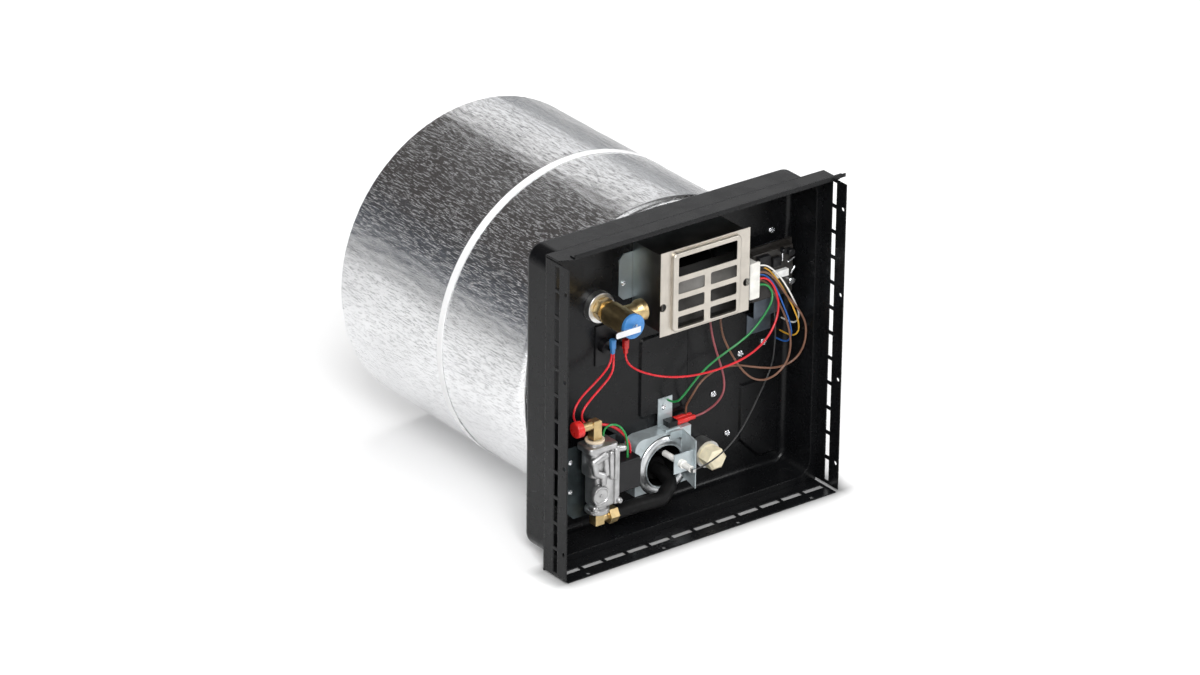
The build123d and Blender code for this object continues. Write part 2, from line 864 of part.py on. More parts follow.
with BuildPart() as thermostat_switches:
    with BuildSketch(facing(pan_depth)):
        with Locations(*stat_centres):
            Circle(stat_radius)
    extrude(amount=pan_depth - stat_front)
    with BuildSketch(facing(stat_front)):
        with Locations(*stat_centres):
            Rectangle(blade_thick, blade_width)
    extrude(amount=blade_reach)
keep(thermostat_switches, "thermostat_switches")

sleeve_depth = stat_front - blade_reach - sleeve_radius
blue_x, red_x = stat_centres[0][0], stat_centres[1][0]
red_low = stat_z - sleeve_long / 2
blue_low = red_low + sleeve_lift
with BuildPart() as blue_terminal:
    with BuildSketch(level(blue_low)):
        with Locations((blue_x, sleeve_depth)):
            RectangleRounded(2 * sleeve_radius, 2 * sleeve_radius, sleeve_radius / 2)
    extrude(amount=sleeve_long)
keep(blue_terminal, "blue_terminal")

with BuildPart() as red_terminal:
    with BuildSketch(level(red_low)):
        with Locations((red_x, sleeve_depth)):
            RectangleRounded(2 * sleeve_radius, 2 * sleeve_radius, sleeve_radius / 2)
    extrude(amount=sleeve_long)
keep(red_terminal, "red_terminal")

# Control board on a bent bracket, with its plug
board_back = back - board_stand
with BuildPart() as board_bracket:
    with BuildSketch(facing(board_back + bracket_sheet)):
        with Locations((board_x, board_z - bracket_drop / 2)):
            Rectangle(bracket_width, board_height + bracket_drop)
    extrude(amount=bracket_sheet)
    with BuildSketch(level(board_z - board_height / 2 - bracket_drop)):
        with Locations((board_x, (board_back + back) / 2)):
            Rectangle(bracket_width, board_stand)
    extrude(amount=bracket_sheet)
    with BuildSketch(facing(back)):
        with Locations((board_x, foot_low + bracket_foot / 2)):
            Rectangle(bracket_width, bracket_foot)
    extrude(amount=bracket_sheet)
keep(board_bracket, "board_bracket")

with BuildPart() as control_board:
    with BuildSketch(facing(board_back)):
        with Locations((board_x, board_z)):
            Rectangle(board_width, board_height)
    extrude(amount=board_thick)
    with BuildSketch(facing(board_back - board_thick)):
        with Locations((board_x, board_z)):
            RectangleRounded(board_width - 2 * potting_inset, board_height - 2 * potting_inset,
                             board_edge_radius)
    extrude(amount=potting_height)
    fillet(control_board.faces().sort_by(Axis.Y)[0].edges(), radius=board_edge_radius)
keep(control_board, "control_board")

connector_back = board_back - board_thick
with BuildPart() as board_connector:
    with BuildSketch(facing(connector_back)):
        with Locations((connector_x, connector_z)):
            Rectangle(connector_width - 2 * connector_lip, connector_height)
    extrude(amount=connector_long)
    with BuildSketch(facing(connector_back - connector_long)):
        with Locations((connector_x, connector_z)):
            Rectangle(connector_width, connector_height + 2 * connector_lip)
    extrude(amount=connector_lip)
keep(board_connector, "board_connector")

# Gas valve: die-cast body between two round ends, with a ribbed front and a round cover
with BuildPart() as gas_valve_body:
    with BuildSketch(level(valve_low)):
        with Locations((valve_x, valve_depth)):
            Circle(flange_radius)
    extrude(amount=flange_thick)
    with BuildSketch(level(block_low)):
        with Locations((valve_x, valve_depth)):
            RectangleRounded(valve_width, valve_deep, block_soft)
    extrude(amount=block_height)
    with BuildSketch(level(block_top)):
        with Locations((inlet_x, valve_depth)):
            Circle(collar_radius)
    extrude(amount=collar_height)
    for rib_hand in (-1, 1):
        with BuildSketch(facing(block_front)):
            with Locations((valve_x + rib_hand * (valve_width / 2 - block_soft), block_low + block_height / 2)):
                Rectangle(rib_width, block_height - 2 * block_soft)
        extrude(amount=rib_reach)
    with BuildSketch(facing(block_front)):
        with Locations((valve_x - gauge_shift, valve_low + gauge_up)):
            Circle(gauge_radius)
    extrude(amount=gauge_reach)
    fillet(gas_valve_body.faces().sort_by(Axis.Y)[0].edges(), radius=rib_reach / 4)
    with BuildSketch(side(block_right)):
        with Locations((valve_depth, coil_z)):
            Circle(plunger_radius + slip)
    extrude(amount=-plunger_long / 2, mode=Mode.SUBTRACT)
keep(gas_valve_body, "gas_valve_body")

with BuildPart() as valve_coil:
    with BuildSketch(side(block_right)):
        with Locations((valve_depth, coil_z)):
            RectangleRounded(coil_deep, coil_height, coil_soft)
    extrude(amount=coil_long)
    with BuildSketch(side(block_right)):
        with Locations((valve_depth, coil_z)):
            Circle(plunger_radius + slip)
    extrude(amount=coil_long - coil_wall, mode=Mode.SUBTRACT)
keep(valve_coil, "valve_coil")

plunger_left = block_right - plunger_long / 2 + plunger_travel
with BuildPart() as valve_plunger:
    with BuildSketch(side(plunger_left)):
        with Locations((valve_depth, coil_z)):
            Circle(plunger_radius)
    extrude(amount=plunger_long)
keep(valve_plunger, "valve_plunger")

plunger_room = block_right + coil_long - coil_wall - plunger_left - plunger_long
plunger_coil = coil_path(
    Vector(plunger_left + plunger_long + gap + plunger_spring_wire / 2, valve_depth - bend_line, coil_z),
    Vector(1, 0, 0),
    Vector(0, 1, 0),
    plunger_radius - plunger_spring_wire,
    plunger_room - 2 * gap - plunger_spring_wire,
    plunger_spring_turns,
)
print("plunger spring gap", round(coil_gap(plunger_coil, plunger_spring_wire, plunger_spring_turns), 2))
with BuildPart() as plunger_spring:
    with BuildLine():
        for step in range(0, len(plunger_coil) - 1, 2):
            ThreePointArc(plunger_coil[step], plunger_coil[step + 1], plunger_coil[step + 2])
    with BuildSketch(Plane(origin=plunger_coil[0], z_dir=plunger_coil[1] - plunger_coil[0])):
        Circle(plunger_spring_wire / 2)
    sweep()
keep(plunger_spring, "plunger_spring")

# Brass elbows above and below the valve, and the red shipping cap on the inlet's flare
flare_left = inlet_x - elbow_side / 2 - elbow_reach
with BuildPart() as gas_inlet_elbow:
    with BuildSketch(level(collar_top)):
        with Locations((inlet_x, valve_depth)):
            Rectangle(elbow_side, elbow_side)
    extrude(amount=elbow_rise + elbow_side / 2)
    chamfer(gas_inlet_elbow.faces().sort_by(Axis.Z)[-1].edges(), length=sheet)
    with BuildSketch(side(inlet_x - elbow_side / 2)):
        with Locations((valve_depth, inlet_z)):
            Circle(flare_radius)
    extrude(amount=-elbow_reach)
keep(gas_inlet_elbow, "gas_inlet_elbow")

with BuildPart() as gas_inlet_cap:
    with BuildSketch(side(flare_left - inlet_cap_wall - gap)):
        with Locations((valve_depth, inlet_z)):
            Circle(inlet_cap_radius)
    extrude(amount=inlet_cap_long)
    fillet(gas_inlet_cap.faces().sort_by(Axis.X)[0].edges(), radius=inlet_cap_wall)
    with BuildSketch(side(flare_left - gap)):
        with Locations((valve_depth, inlet_z)):
            Circle(flare_radius + gap)
    extrude(amount=inlet_cap_long, mode=Mode.SUBTRACT)
keep(gas_inlet_cap, "gas_inlet_cap")

nut_right = valve_x + outlet_side / 2 + outlet_run
with BuildPart() as gas_outlet_elbow:
    with BuildSketch(level(outlet_z - outlet_side / 2)):
        with Locations((valve_x, valve_depth)):
            Rectangle(outlet_side, outlet_side)
    extrude(amount=outlet_drop + outlet_side / 2)
    with BuildSketch(side(nut_right - nut_long)):
        with Locations((valve_depth, outlet_z)):
            RegularPolygon(nut_hex / 2, 6, major_radius=False)
    extrude(amount=nut_long)
    with BuildSketch(side(valve_x)):
        with Locations((valve_depth, outlet_z)):
            Circle(outlet_neck)
    extrude(amount=outlet_side / 2 + outlet_run - nut_long)
keep(gas_outlet_elbow, "gas_outlet_elbow")

# Channel bracket that holds the valve off the back of the pan
with BuildPart() as gas_valve_bracket:
    with BuildSketch(facing(block_back + bracket_sheet)) as bracket_web:
        with Locations((valve_x, valve_bracket_low + valve_bracket_height / 2)):
            Rectangle(valve_bracket_width, valve_bracket_height)
        chamfer(bracket_web.vertices().group_by(Axis.Y)[0], length=valve_bracket_cut)
    extrude(amount=bracket_sheet)
    leg_low = valve_bracket_low + valve_bracket_cut
    leg_height = valve_bracket_height - valve_bracket_cut
    for leg_x in (valve_x - valve_bracket_width / 2, valve_x + valve_bracket_width / 2 - bracket_sheet):
        with BuildSketch(side(leg_x)):
            with Locations(((block_back + back) / 2, leg_low + leg_height / 2)):
                Rectangle(back - block_back, leg_height)
        extrude(amount=bracket_sheet)
keep(gas_valve_bracket, "gas_valve_bracket")

# Black manifold from the valve to the burner in the flue
manifold_points = [
    (nut_right, valve_depth - bend_line, outlet_z),
    (nut_right + 34, valve_depth - bend_line, outlet_z),
    (burner_x - 26, valve_depth + 2 - bend_line, outlet_z - 4),
    (burner_x, valve_depth + 16 - bend_line, burner_axis_z - 6),
    (burner_x, burner_start - 14 - bend_line, burner_axis_z),
    (burner_x, burner_start - bend_line, burner_axis_z),
]
with BuildPart() as manifold_tube:
    with BuildLine():
        FilletPolyline(*manifold_points, radius=manifold_bend)
    with BuildSketch(Plane(origin=manifold_points[0],
                           z_dir=Vector(*manifold_points[1]) - Vector(*manifold_points[0]))):
        Circle(manifold_radius)
        Circle(manifold_bore, mode=Mode.SUBTRACT)
    sweep()
keep(manifold_tube, "manifold_tube")

with BuildPart() as main_burner:
    with BuildSketch(facing(burner_start + burner_long)):
        with Locations((burner_x, burner_axis_z)):
            Circle(burner_radius)
    extrude(amount=burner_long)
    with BuildSketch(facing(burner_start + burner_long - burner_wall)):
        with Locations((burner_x, burner_axis_z)):
            Circle(burner_radius - burner_wall)
    extrude(amount=burner_long - 2 * burner_wall, mode=Mode.SUBTRACT)
    with BuildSketch(level(burner_axis_z)):
        with Locations((burner_x, burner_start + burner_long / 2)):
            with GridLocations(1, burner_slot_pitch, 1, burner_slots):
                Rectangle(burner_slot_long, burner_slot_width)
    extrude(amount=burner_radius, mode=Mode.SUBTRACT)
keep(main_burner, "main_burner")

# Galvanised hood over the firing mouth, with feet on the back of the pan
with BuildPart() as burner_hood:
    for inset, length, mode in ((0, back - hood_front, Mode.ADD),
                                (galvanised, back - hood_front - galvanised, Mode.SUBTRACT)):
        with BuildSketch(facing(back)):
            with BuildLine():
                Line((hood_left + inset, hood_low - inset), (hood_left + inset, hood_top - hood_corner))
                CenterArc((hood_left + hood_corner, hood_top - hood_corner), hood_corner - inset, 180, -90)
                Polyline(
                    (hood_left + hood_corner, hood_top - inset),
                    (hood_right - inset, hood_top - inset),
                    (hood_right - inset, hood_low - inset),
                    (hood_left + inset, hood_low - inset),
                )
            make_face()
        extrude(amount=length, mode=mode)
    with BuildSketch(facing(back)):
        with Locations((burner_x, burner_z)):
            Circle(hood_mouth)
    extrude(amount=back - hood_front, mode=Mode.SUBTRACT)
    with BuildSketch(facing(hood_front)):
        with Locations((burner_x, burner_z)):
            Circle(rim_radius)
            Circle(hood_mouth, mode=Mode.SUBTRACT)
    extrude(amount=rim_height)
    with BuildSketch(facing(back)):
        with Locations((hood_left - hood_foot / 2, (hood_low + burner_z) / 2)):
            Rectangle(hood_foot, burner_z - hood_low)
    extrude(amount=galvanised)
keep(burner_hood, "burner_hood")

# Side plate that carries the spark electrode in front of the mouth
with BuildPart() as electrode_bracket:
    with BuildSketch(side(holder_x)):
        with BuildLine():
            Polyline(
                (holder_front, holder_low),
                (holder_rear, holder_low + holder_rise),
                (holder_rear, hood_top),
                (holder_front, hood_top - holder_cut),
                close=True,
            )
        make_face()
    extrude(amount=bracket_sheet)
    with BuildSketch(facing(holder_rear)):
        with Locations((holder_x + bracket_sheet - holder_flange / 2, hood_top - holder_tab / 2)):
            Rectangle(holder_flange, holder_tab)
    extrude(amount=bracket_sheet)
    with BuildSketch(facing(electrode_plate_depth)):
        with Locations((holder_x - electrode_plate_width / 2, electrode_z)):
            Rectangle(electrode_plate_width, electrode_plate_height)
        with Locations((electrode_x, electrode_z)):
            Circle(ceramic_radius + gap, mode=Mode.SUBTRACT)
    extrude(amount=bracket_sheet)
keep(electrode_bracket, "electrode_bracket")

with BuildPart() as spark_electrode:
    with BuildSketch(facing(ceramic_rear)):
        with Locations((electrode_x, electrode_z)):
            Circle(ceramic_radius)
    extrude(amount=ceramic_rear - ceramic_front)
    with BuildSketch(facing(electrode_plate_depth - bracket_sheet)):
        with Locations((electrode_x, electrode_z)):
            Circle(ceramic_collar)
    extrude(amount=ceramic_collar_long)
    fillet(spark_electrode.faces().sort_by(Axis.Y)[-1].edges(), radius=rod_radius)
keep(spark_electrode, "spark_electrode")

with BuildPart() as electrode_rods:
    with BuildSketch(facing(ceramic_rear + rod_long)):
        with Locations((electrode_x - rod_spread, electrode_z), (electrode_x + rod_spread, electrode_z)):
            Circle(rod_radius)
    extrude(amount=rod_long)
    with BuildSketch(facing(ceramic_front)):
        with Locations((electrode_x, electrode_z)):
            Rectangle(4 * rod_radius, 4 * rod_radius)
    extrude(amount=rod_pin)
keep(electrode_rods, "electrode_rods")

# Earth bracket on the hood, and the cut-off with its two push-on terminals
with BuildPart() as ground_bracket:
    with BuildSketch(facing(panel_front)):
        with Locations((earth_x, (hood_top + earth_top) / 2)):
            Rectangle(earth_width, earth_top - hood_top)
    extrude(amount=bracket_sheet)
    with BuildSketch(level(hood_top)):
        with Locations((earth_x, panel_front - earth_foot / 2)):
            Rectangle(earth_width, earth_foot)
    extrude(amount=bracket_sheet)
keep(ground_bracket, "ground_bracket")

cutoff_low = hood_top + bracket_sheet
cutoff_depth = panel_front - bracket_sheet - gap - cutoff_deep / 2
with BuildPart() as thermal_cutoff:
    with BuildSketch(level(cutoff_low)):
        with Locations((cutoff_x, cutoff_depth)):
            RectangleRounded(cutoff_width, cutoff_deep, sheet)
    extrude(amount=cutoff_height)
keep(thermal_cutoff, "thermal_cutoff")

cutoff_right = cutoff_x + cutoff_width / 2
with BuildPart() as cutoff_terminals:
    with BuildSketch(side(cutoff_right)):
        with Locations((cutoff_depth - spade_spread / 2, cutoff_low + cutoff_height / 2),
                       (cutoff_depth + spade_spread / 2, cutoff_low + cutoff_height / 2)):
            RectangleRounded(2 * spade_radius, 2 * spade_radius, spade_radius / 2)
    extrude(amount=spade_long)
keep(cutoff_terminals, "cutoff_terminals")

# Pan-head screws on the back of the pan and on the exhaust box's tab
with BuildPart() as pan_screws:
    with BuildSketch(facing(back)):
        with Locations(*screw_places):
            Circle(screw_head)
    extrude(amount=screw_height)
    fillet(pan_screws.faces().filter_by(Axis.Y).group_by(Axis.Y)[0].edges(), radius=sheet)
keep(pan_screws, "pan_screws")


def lead(label, route, diameter):
    """Insulated lead: straight runs joined by arcs as large as the runs allow, through x, depth, z points."""
    points = [Vector(x, depth - bend_line, z) for x, depth, z in route]
    runs = [b - a for a, b in zip(points, points[1:])]
    turns = [a.get_angle(b) for a, b in zip(runs, runs[1:])]
    radii = [
        0.45 * min(a.length, b.length) / tan(radians(turn) / 2)
        for a, b, turn in zip(runs, runs[1:], turns)
    ]
    with BuildPart() as wire:
        with BuildLine() as path:
            FilletPolyline(*points, radius=radii)
        with BuildSketch(Plane(origin=points[0], z_dir=runs[0])):
            Circle(diameter / 2)
        sweep()
    length = path.wires()[0].length
    print(
        label,
        "length", round(length, 1),
        "runs", [round(run.length) for run in runs],
        "turns", [round(turn) for turn in turns],
        "least radius", round(min(radii), 1),
        "volume ratio", round(wire.part.volume / (pi * diameter**2 / 4 * length), 4),
    )
    keep(wire, label)


# Where leads start and end: terminals, the plug's right side, the coil's top, the box's floor, the pan
plug_right = connector_x + connector_width / 2 - connector_lip
coil_top = coil_z + coil_height / 2
box_low = box_z - box_height / 2
board_low = board_z - board_height / 2 + potting_inset
spade_z = cutoff_low + cutoff_height / 2
spade_right = cutoff_right + spade_long
spade_front = cutoff_depth - spade_spread / 2
spade_back = cutoff_depth + spade_spread / 2
earth_front = panel_front - bracket_sheet
potting_middle = connector_back - potting_height / 2
spark_depth = ceramic_front - rod_pin / 2
pair = main_lead / 2 + 0.4

lead("red_lead_main", [
    (red_x, sleeve_depth, red_low), (red_x, sleeve_depth, red_low - 9), (-57, 68, 211), (-43, 61, 203),
    (-22, 55, 195), (2, 50, 190), (28, 46, 188), (56, 43, 189), (84, 41, 193), (106, 40, 201),
    (124, 41, 213), (137, 44, 228), (144, 48, 244), (144, 53, 259), (141, 58, 271), (132, 62, 280),
    (plug_right, 62, 280),
], main_lead)

lead("red_lead_a", [
    (blue_x - pair, sleeve_depth, blue_low), (blue_x - pair, sleeve_depth, blue_low - 8), (-90.5, 72, 220),
    (-100, 70, 214), (-112, 67, 209), (-125, 63, 205), (-139, 60, 199), (-150, 57, 190), (-153, 56, 178),
    (-146, 55.5, 168), (-133, 55, 164), (-117, 55, 161), (-102, 55, 156), (-90, 53.5, 148.5), (-82, 51, 140),
    (-79.5, 48, 130), (-79.5, 48, coil_top),
], main_lead)

lead("red_lead_b", [
    (blue_x + pair, sleeve_depth, blue_low), (blue_x + pair, sleeve_depth, blue_low - 8), (-85, 69, 217),
    (-94, 65, 210), (-106, 61.5, 205), (-119, 57.5, 200), (-132, 54, 194), (-142, 53, 185), (-143, 52.5, 174),
    (-134, 52, 166), (-119.5, 51, 163), (-105, 50, 158), (-92.5, 48, 149), (-84, 45, 139), (-80.5, 40, 130),
    (-80.5, 40, coil_top),
], main_lead)

lead("valve_green_lead", [
    (-115.5, 47, block_top), (-115.5, 47, block_top + 9), (-109, 43, 163), (-99, 39, 161), (-92.5, 35, 151),
    (-90.5, 33.5, 140), (-90, 33, 129.5), (-90, 33, coil_top),
], main_lead)

lead("green_lead", [
    (plug_right, 62, 272), (131, 62, 272), (140, 58, 264), (138, 52.5, 252.5), (127, 48.5, 243), (114, 46, 233),
    (101, 46, 222), (86, 48, 213), (71, 53, 203), (56, 59, 192), (43, 64, 180), (33, 67, 168), (23, 69, 156),
    (12, 74, 142), (12, earth_front, 142),
], main_lead)

lead("brown_lead_outer", [
    (plug_right, 60.5, 289), (129, 60.5, 289), (140, 57, 281), (149, 53, 267), (158, 51, 252), (168, 50, 240),
    (178, 49, 226), (186, 49, 210), (188, 50, 193), (186, 52, 177), (179, 55, 164), (167, 58, 157),
    (152, 61, 155.5), (135, 64, 159), (119, 67, 164), (104, 70, 169), (88, 71, 172), (70, 71, 172.5),
    (53, 70.5, 168), (42, 71, 159), (36.5, 74, 147), (36, 80, 137), (37, spade_back, 128),
    (37, spade_back, spade_z + spade_radius),
], main_lead)

lead("brown_lead_inner", [
    (plug_right, 65.5, 276), (129, 65.5, 276), (140, 65, 268), (148, 63.5, 255), (155, 62, 240), (161, 60, 226),
    (166, 58, 211), (169, 56, 195), (168, 54, 179), (162, 53, 163), (149, 54, 151), (132, 56.5, 146),
    (116, 60.5, 151), (104, 65, 164), (95, 69.5, 180), (88, 74, 196), (83, 78, 212), (81, 79.5, 229),
    (80, 80, 246), (80, 80, box_low),
], main_lead)

lead("pink_lead", [
    (57, 70, box_low), (57, 70, 249), (58, 69, 234), (60, 67, 218), (64, 65.5, 202), (69, 64.5, 186),
    (74, 64, 170), (77, 64, 155), (76, 65, 141), (70, 69, 129), (62, 75, 120), (54, spade_front, spade_z),
    (spade_right, spade_front, spade_z),
], main_lead)

lead("spark_lead", [
    (electrode_x + 2 * rod_radius, spark_depth, electrode_z), (13, spark_depth, electrode_z), (27, 24.4, 82),
    (44, 26, 87), (61, 30.5, 92.5), (77, 36.5, 98.5), (92, 43.5, 105), (107, 51.5, 112.5), (122, 59.5, 121),
    (136, 66, 131.5), (148, 70.5, 143.5), (156, 72.5, 158), (159, 73.5, 174), (160, 73.5, 190),
    (159, 73, 206), (157, 72.5, 222), (157, potting_middle, 235), (157, potting_middle, board_low),
], thin_lead)

lead("blue_lead", [
    (plug_right, 63.5, 284.5), (129, 63.5, 284.5), (139, 61.5, 277), (147, 59, 264), (153, 57, 249),
    (159, 56, 234), (166, 57, 219), (172, 59, 204), (175.5, 62, 191), (176, 69, 181), (175.8, 77, 178),
    (175.5, 85.5, 177), (175.5, back, 177),
], thin_lead)

lead("yellow_lead", [
    (plug_right, 64, 294), (129, 64, 294), (140, 62, 286), (150, 58.5, 272), (158, 55, 256), (166, 54, 241),
    (174, 54, 225), (181, 56, 209), (185, 60, 196), (184.5, 67, 187), (183.5, 76, 184.7), (183, 85, 184),
    (183, back, 184),
], thin_lead)

lead("white_lead", [
    (plug_right, 60, 298), (129, 60, 298), (140, 56.5, 290), (150, 52.5, 277), (159, 50, 261), (168, 51, 245),
    (177, 54, 230), (184, 59, 215), (186, 67, 204), (185.5, 76, 200.7), (185, 85, 200),
    (185, back, 200),
], thin_lead)
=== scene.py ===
"""Looks for a gas tank water heater: finishes, foil wrap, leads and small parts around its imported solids."""

import math

import bmesh
import bpy
import numpy as np
from mathutils import Matrix, Vector


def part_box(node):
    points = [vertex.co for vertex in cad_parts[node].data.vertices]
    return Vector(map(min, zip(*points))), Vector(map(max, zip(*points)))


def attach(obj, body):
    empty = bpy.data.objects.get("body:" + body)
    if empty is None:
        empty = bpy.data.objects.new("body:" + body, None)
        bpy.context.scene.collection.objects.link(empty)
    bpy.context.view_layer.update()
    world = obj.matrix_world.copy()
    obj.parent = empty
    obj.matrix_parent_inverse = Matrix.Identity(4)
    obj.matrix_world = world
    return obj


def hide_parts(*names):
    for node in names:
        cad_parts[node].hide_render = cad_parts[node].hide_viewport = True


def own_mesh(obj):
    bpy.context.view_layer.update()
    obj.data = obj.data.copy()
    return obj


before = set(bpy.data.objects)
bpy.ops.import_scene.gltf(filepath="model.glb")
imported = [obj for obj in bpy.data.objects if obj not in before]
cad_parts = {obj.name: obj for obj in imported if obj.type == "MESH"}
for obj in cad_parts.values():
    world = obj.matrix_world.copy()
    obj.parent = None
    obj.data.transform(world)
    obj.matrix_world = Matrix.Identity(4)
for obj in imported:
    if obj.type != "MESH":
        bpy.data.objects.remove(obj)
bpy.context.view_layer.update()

bl_info = {
    "name": "Vehicle Water Heater",
    "version": (1, 0, 0),
    "blender": (4, 5, 0),
    "location": "View3D > Sidebar > Heater",
    "description": "Dresses a packed tank water heater with its finishes, foil wrap, leads and small parts",
    "category": "Object",
}

MM = 0.001
BEND_LINE = 21.5  # depth of the flanges' bends, where Y is 0, in millimetres
BACK = 93.8  # depth of the pan's back wall, in millimetres
BODY = "heater"
FRONT, UP = (0.0, -1.0, 0.0), (0.0, 0.0, 1.0)


def place(x, depth, z):
    """A point in metres from X, depth behind the flanges' front edges, and Z, in millimetres."""
    return np.array([x, depth - BEND_LINE, z], float) * MM


def corners(node):
    """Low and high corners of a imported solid, as X, depth and Z in millimetres."""
    return [np.array(corner) / MM + (0, BEND_LINE, 0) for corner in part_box(node)]


# Sizes and colours


def metres(name, description, value, least, most=1.0):
    """A length property with its default, in metres."""
    return bpy.props.FloatProperty(
        name=name, description=description, default=value, min=least, max=most, unit="LENGTH")


class HeaterSizes(bpy.types.PropertyGroup):
    """Lengths that a user would change."""

    crease_height: metres("Crease height", "How deep the foil's long creases are", 0.0003, 0.0, 0.0005)
    crease_length: metres("Crease length", "Length of a crease along the tank", 0.030, 0.002)
    crease_width: metres("Crease width", "Distance between creases around the tank", 0.0042, 0.001)
    foil_roll: metres("Foil roll", "Radius of the foil's rolled front edge", 0.009, 0.001, 0.02)
    main_lead: metres("Main lead", "Outside diameter of the thicker leads", 0.0026, 0.001)
    thin_lead: metres("Thin lead", "Outside diameter of the thinner leads", 0.0020, 0.001)


def colour(name, description, value):
    """A colour property with its default."""
    return bpy.props.FloatVectorProperty(
        name=name, description=description, default=value, size=3, min=0.0, max=1.0, subtype="COLOR")


class HeaterColours(bpy.types.PropertyGroup):
    """Colours of the finishes, as linear values."""

    pan_paint: colour("Pan paint", "Gloss paint of the pan and flanges", (0.0040, 0.0042, 0.0047))
    foil: colour("Foil", "Aluminium foil of the wrap", (0.90, 0.905, 0.915))
    tape: colour("Tape", "White band round the tank", (0.94, 0.94, 0.94))
    zinc: colour("Zinc", "Galvanised steel", (0.50, 0.56, 0.58))
    grille: colour("Grille", "Satin steel of the exhaust grille", (0.60, 0.56, 0.50))
    brass: colour("Brass", "Brass of the valves and elbows", (0.62, 0.47, 0.24))
    casting: colour("Casting", "Die-cast body of the gas valve", (0.51, 0.51, 0.51))
    nylon: colour("Nylon", "Drain plug", (0.80, 0.72, 0.52))
    blue: colour("Blue", "Relief cap and blue terminal", (0.055, 0.22, 0.52))
    red: colour("Red", "Red terminals and shipping cap", (0.62, 0.022, 0.02))
    ceramic: colour("Ceramic", "Spark electrode's insulator", (0.86, 0.85, 0.81))


# Meshes from numpy grids


def surface(grid, wrap_columns=True):
    """A mesh from a grid of points, rows x columns x 3: each cell of the grid is one four-sided face."""
    rows, columns = grid.shape[:2]
    index = np.arange(rows * columns).reshape(rows, columns)
    if wrap_columns:
        index = np.hstack([index, index[:, :1]])
    quads = np.stack([index[:-1, :-1], index[:-1, 1:], index[1:, 1:], index[1:, :-1]], -1).reshape(-1, 4)
    mesh = bpy.data.meshes.new("surface")
    mesh.vertices.add(rows * columns)
    mesh.vertices.foreach_set("co", np.ascontiguousarray(grid, np.float32).ravel())
    mesh.loops.add(quads.size)
    mesh.loops.foreach_set("vertex_index", quads.ravel().astype(np.int32))
    mesh.polygons.add(len(quads))
    mesh.polygons.foreach_set("loop_start", np.arange(0, quads.size, 4, dtype=np.int32))
    mesh.update(calc_edges=True)
    return mesh


def tidy(mesh, angle=35.0):
    """Closes seams and poles, points faces outwards and shades smooth below an angle in degrees."""
    work = bmesh.new()
    work.from_mesh(mesh)
    bmesh.ops.remove_doubles(work, verts=work.verts, dist=1e-7)
    bmesh.ops.dissolve_degenerate(work, edges=work.edges, dist=1e-8)
    bmesh.ops.recalc_face_normals(work, faces=work.faces)
    work.to_mesh(mesh)
    work.free()
    mesh.shade_smooth()
    mesh.set_sharp_from_angle(angle=math.radians(angle))
    return mesh


def axes(direction):
    """Two unit vectors square to a direction, and the direction itself."""
    along = np.array(direction, float) / np.linalg.norm(direction)
    helper = UP if abs(along[2]) < 0.9 else (1.0, 0.0, 0.0)
    across = np.cross(helper, along)
    across /= np.linalg.norm(across)
    return across, np.cross(along, across), along


def lathe(origin, direction, profile, sides=48, angle=35.0):
    """A turned form: radius and distance pairs of a profile, in millimetres, spun about an axis."""
    across, up, along = axes(direction)
    profile = np.array(profile, float) * MM
    turn = np.linspace(0, 2 * np.pi, sides, endpoint=False)
    ring = np.cos(turn)[:, None] * across + np.sin(turn)[:, None] * up
    grid = origin + profile[:, 0, None, None] * ring + profile[:, 1, None, None] * along
    return tidy(surface(grid), angle)


CORNER_STEPS = 5


def rounded_loop(width, height, radius):
    """Points of a rectangle whose corners are quarter circles, as pairs."""
    corner = np.linspace(0, np.pi / 2, CORNER_STEPS)
    starts = np.arange(4) * np.pi / 2
    turn = (starts[:, None] + corner).ravel()
    radius = min(radius, width / 2 - 1e-9, height / 2 - 1e-9)
    centre = np.repeat(np.array([[1, 1], [-1, 1], [-1, -1], [1, -1]]), CORNER_STEPS, axis=0)
    centre = centre * np.array([width / 2 - radius, height / 2 - radius])
    return centre + radius * np.stack([np.cos(turn), np.sin(turn)], -1)


def others(along):
    """The two axes square to one."""
    return [axis for axis in (0, 1, 2) if axis != along]


def loft(low, high, along, sections, angle):
    """Rounded rectangles carried along an axis of a box, each with its distance, width, height and radius."""
    first, second = others(along)
    middle = (low + high) / 2
    rows = []
    for station, width, height, radius in sections:
        loop = rounded_loop(width, height, radius) if width > 0 else np.zeros((4 * CORNER_STEPS, 2))
        row = np.zeros((len(loop), 3))
        row[:, first], row[:, second] = loop[:, 0] + middle[first], loop[:, 1] + middle[second]
        row[:, along] = low[along] + station
        rows.append(row)
    grid = np.stack(rows)
    grid[..., 1] -= BEND_LINE
    return tidy(surface(grid * MM), angle)


def block(low, high, radius, soft, along=2):
    """A moulded block: a rounded rectangle carried along one axis, drawn in at both ends by a soft edge."""
    low, high = np.array(low, float), np.array(high, float)
    first, second = others(along)
    size = high - low
    closed = 1e9  # drawn in to a point
    ease = np.linspace(0, np.pi / 2, 4)
    inset = np.concatenate([[closed], soft * (1 - np.sin(ease)), soft * (1 - np.cos(ease)), [closed]])
    stations = np.concatenate([
        [0.0], soft * (1 - np.cos(ease)), size[along] - soft + soft * np.sin(ease), [size[along]]])
    sections = [
        (station, size[first] - 2 * shrink, size[second] - 2 * shrink, max(radius - shrink, 0.02))
        for shrink, station in zip(inset, stations)]
    return loft(low, high, along, sections, angle=40.0)


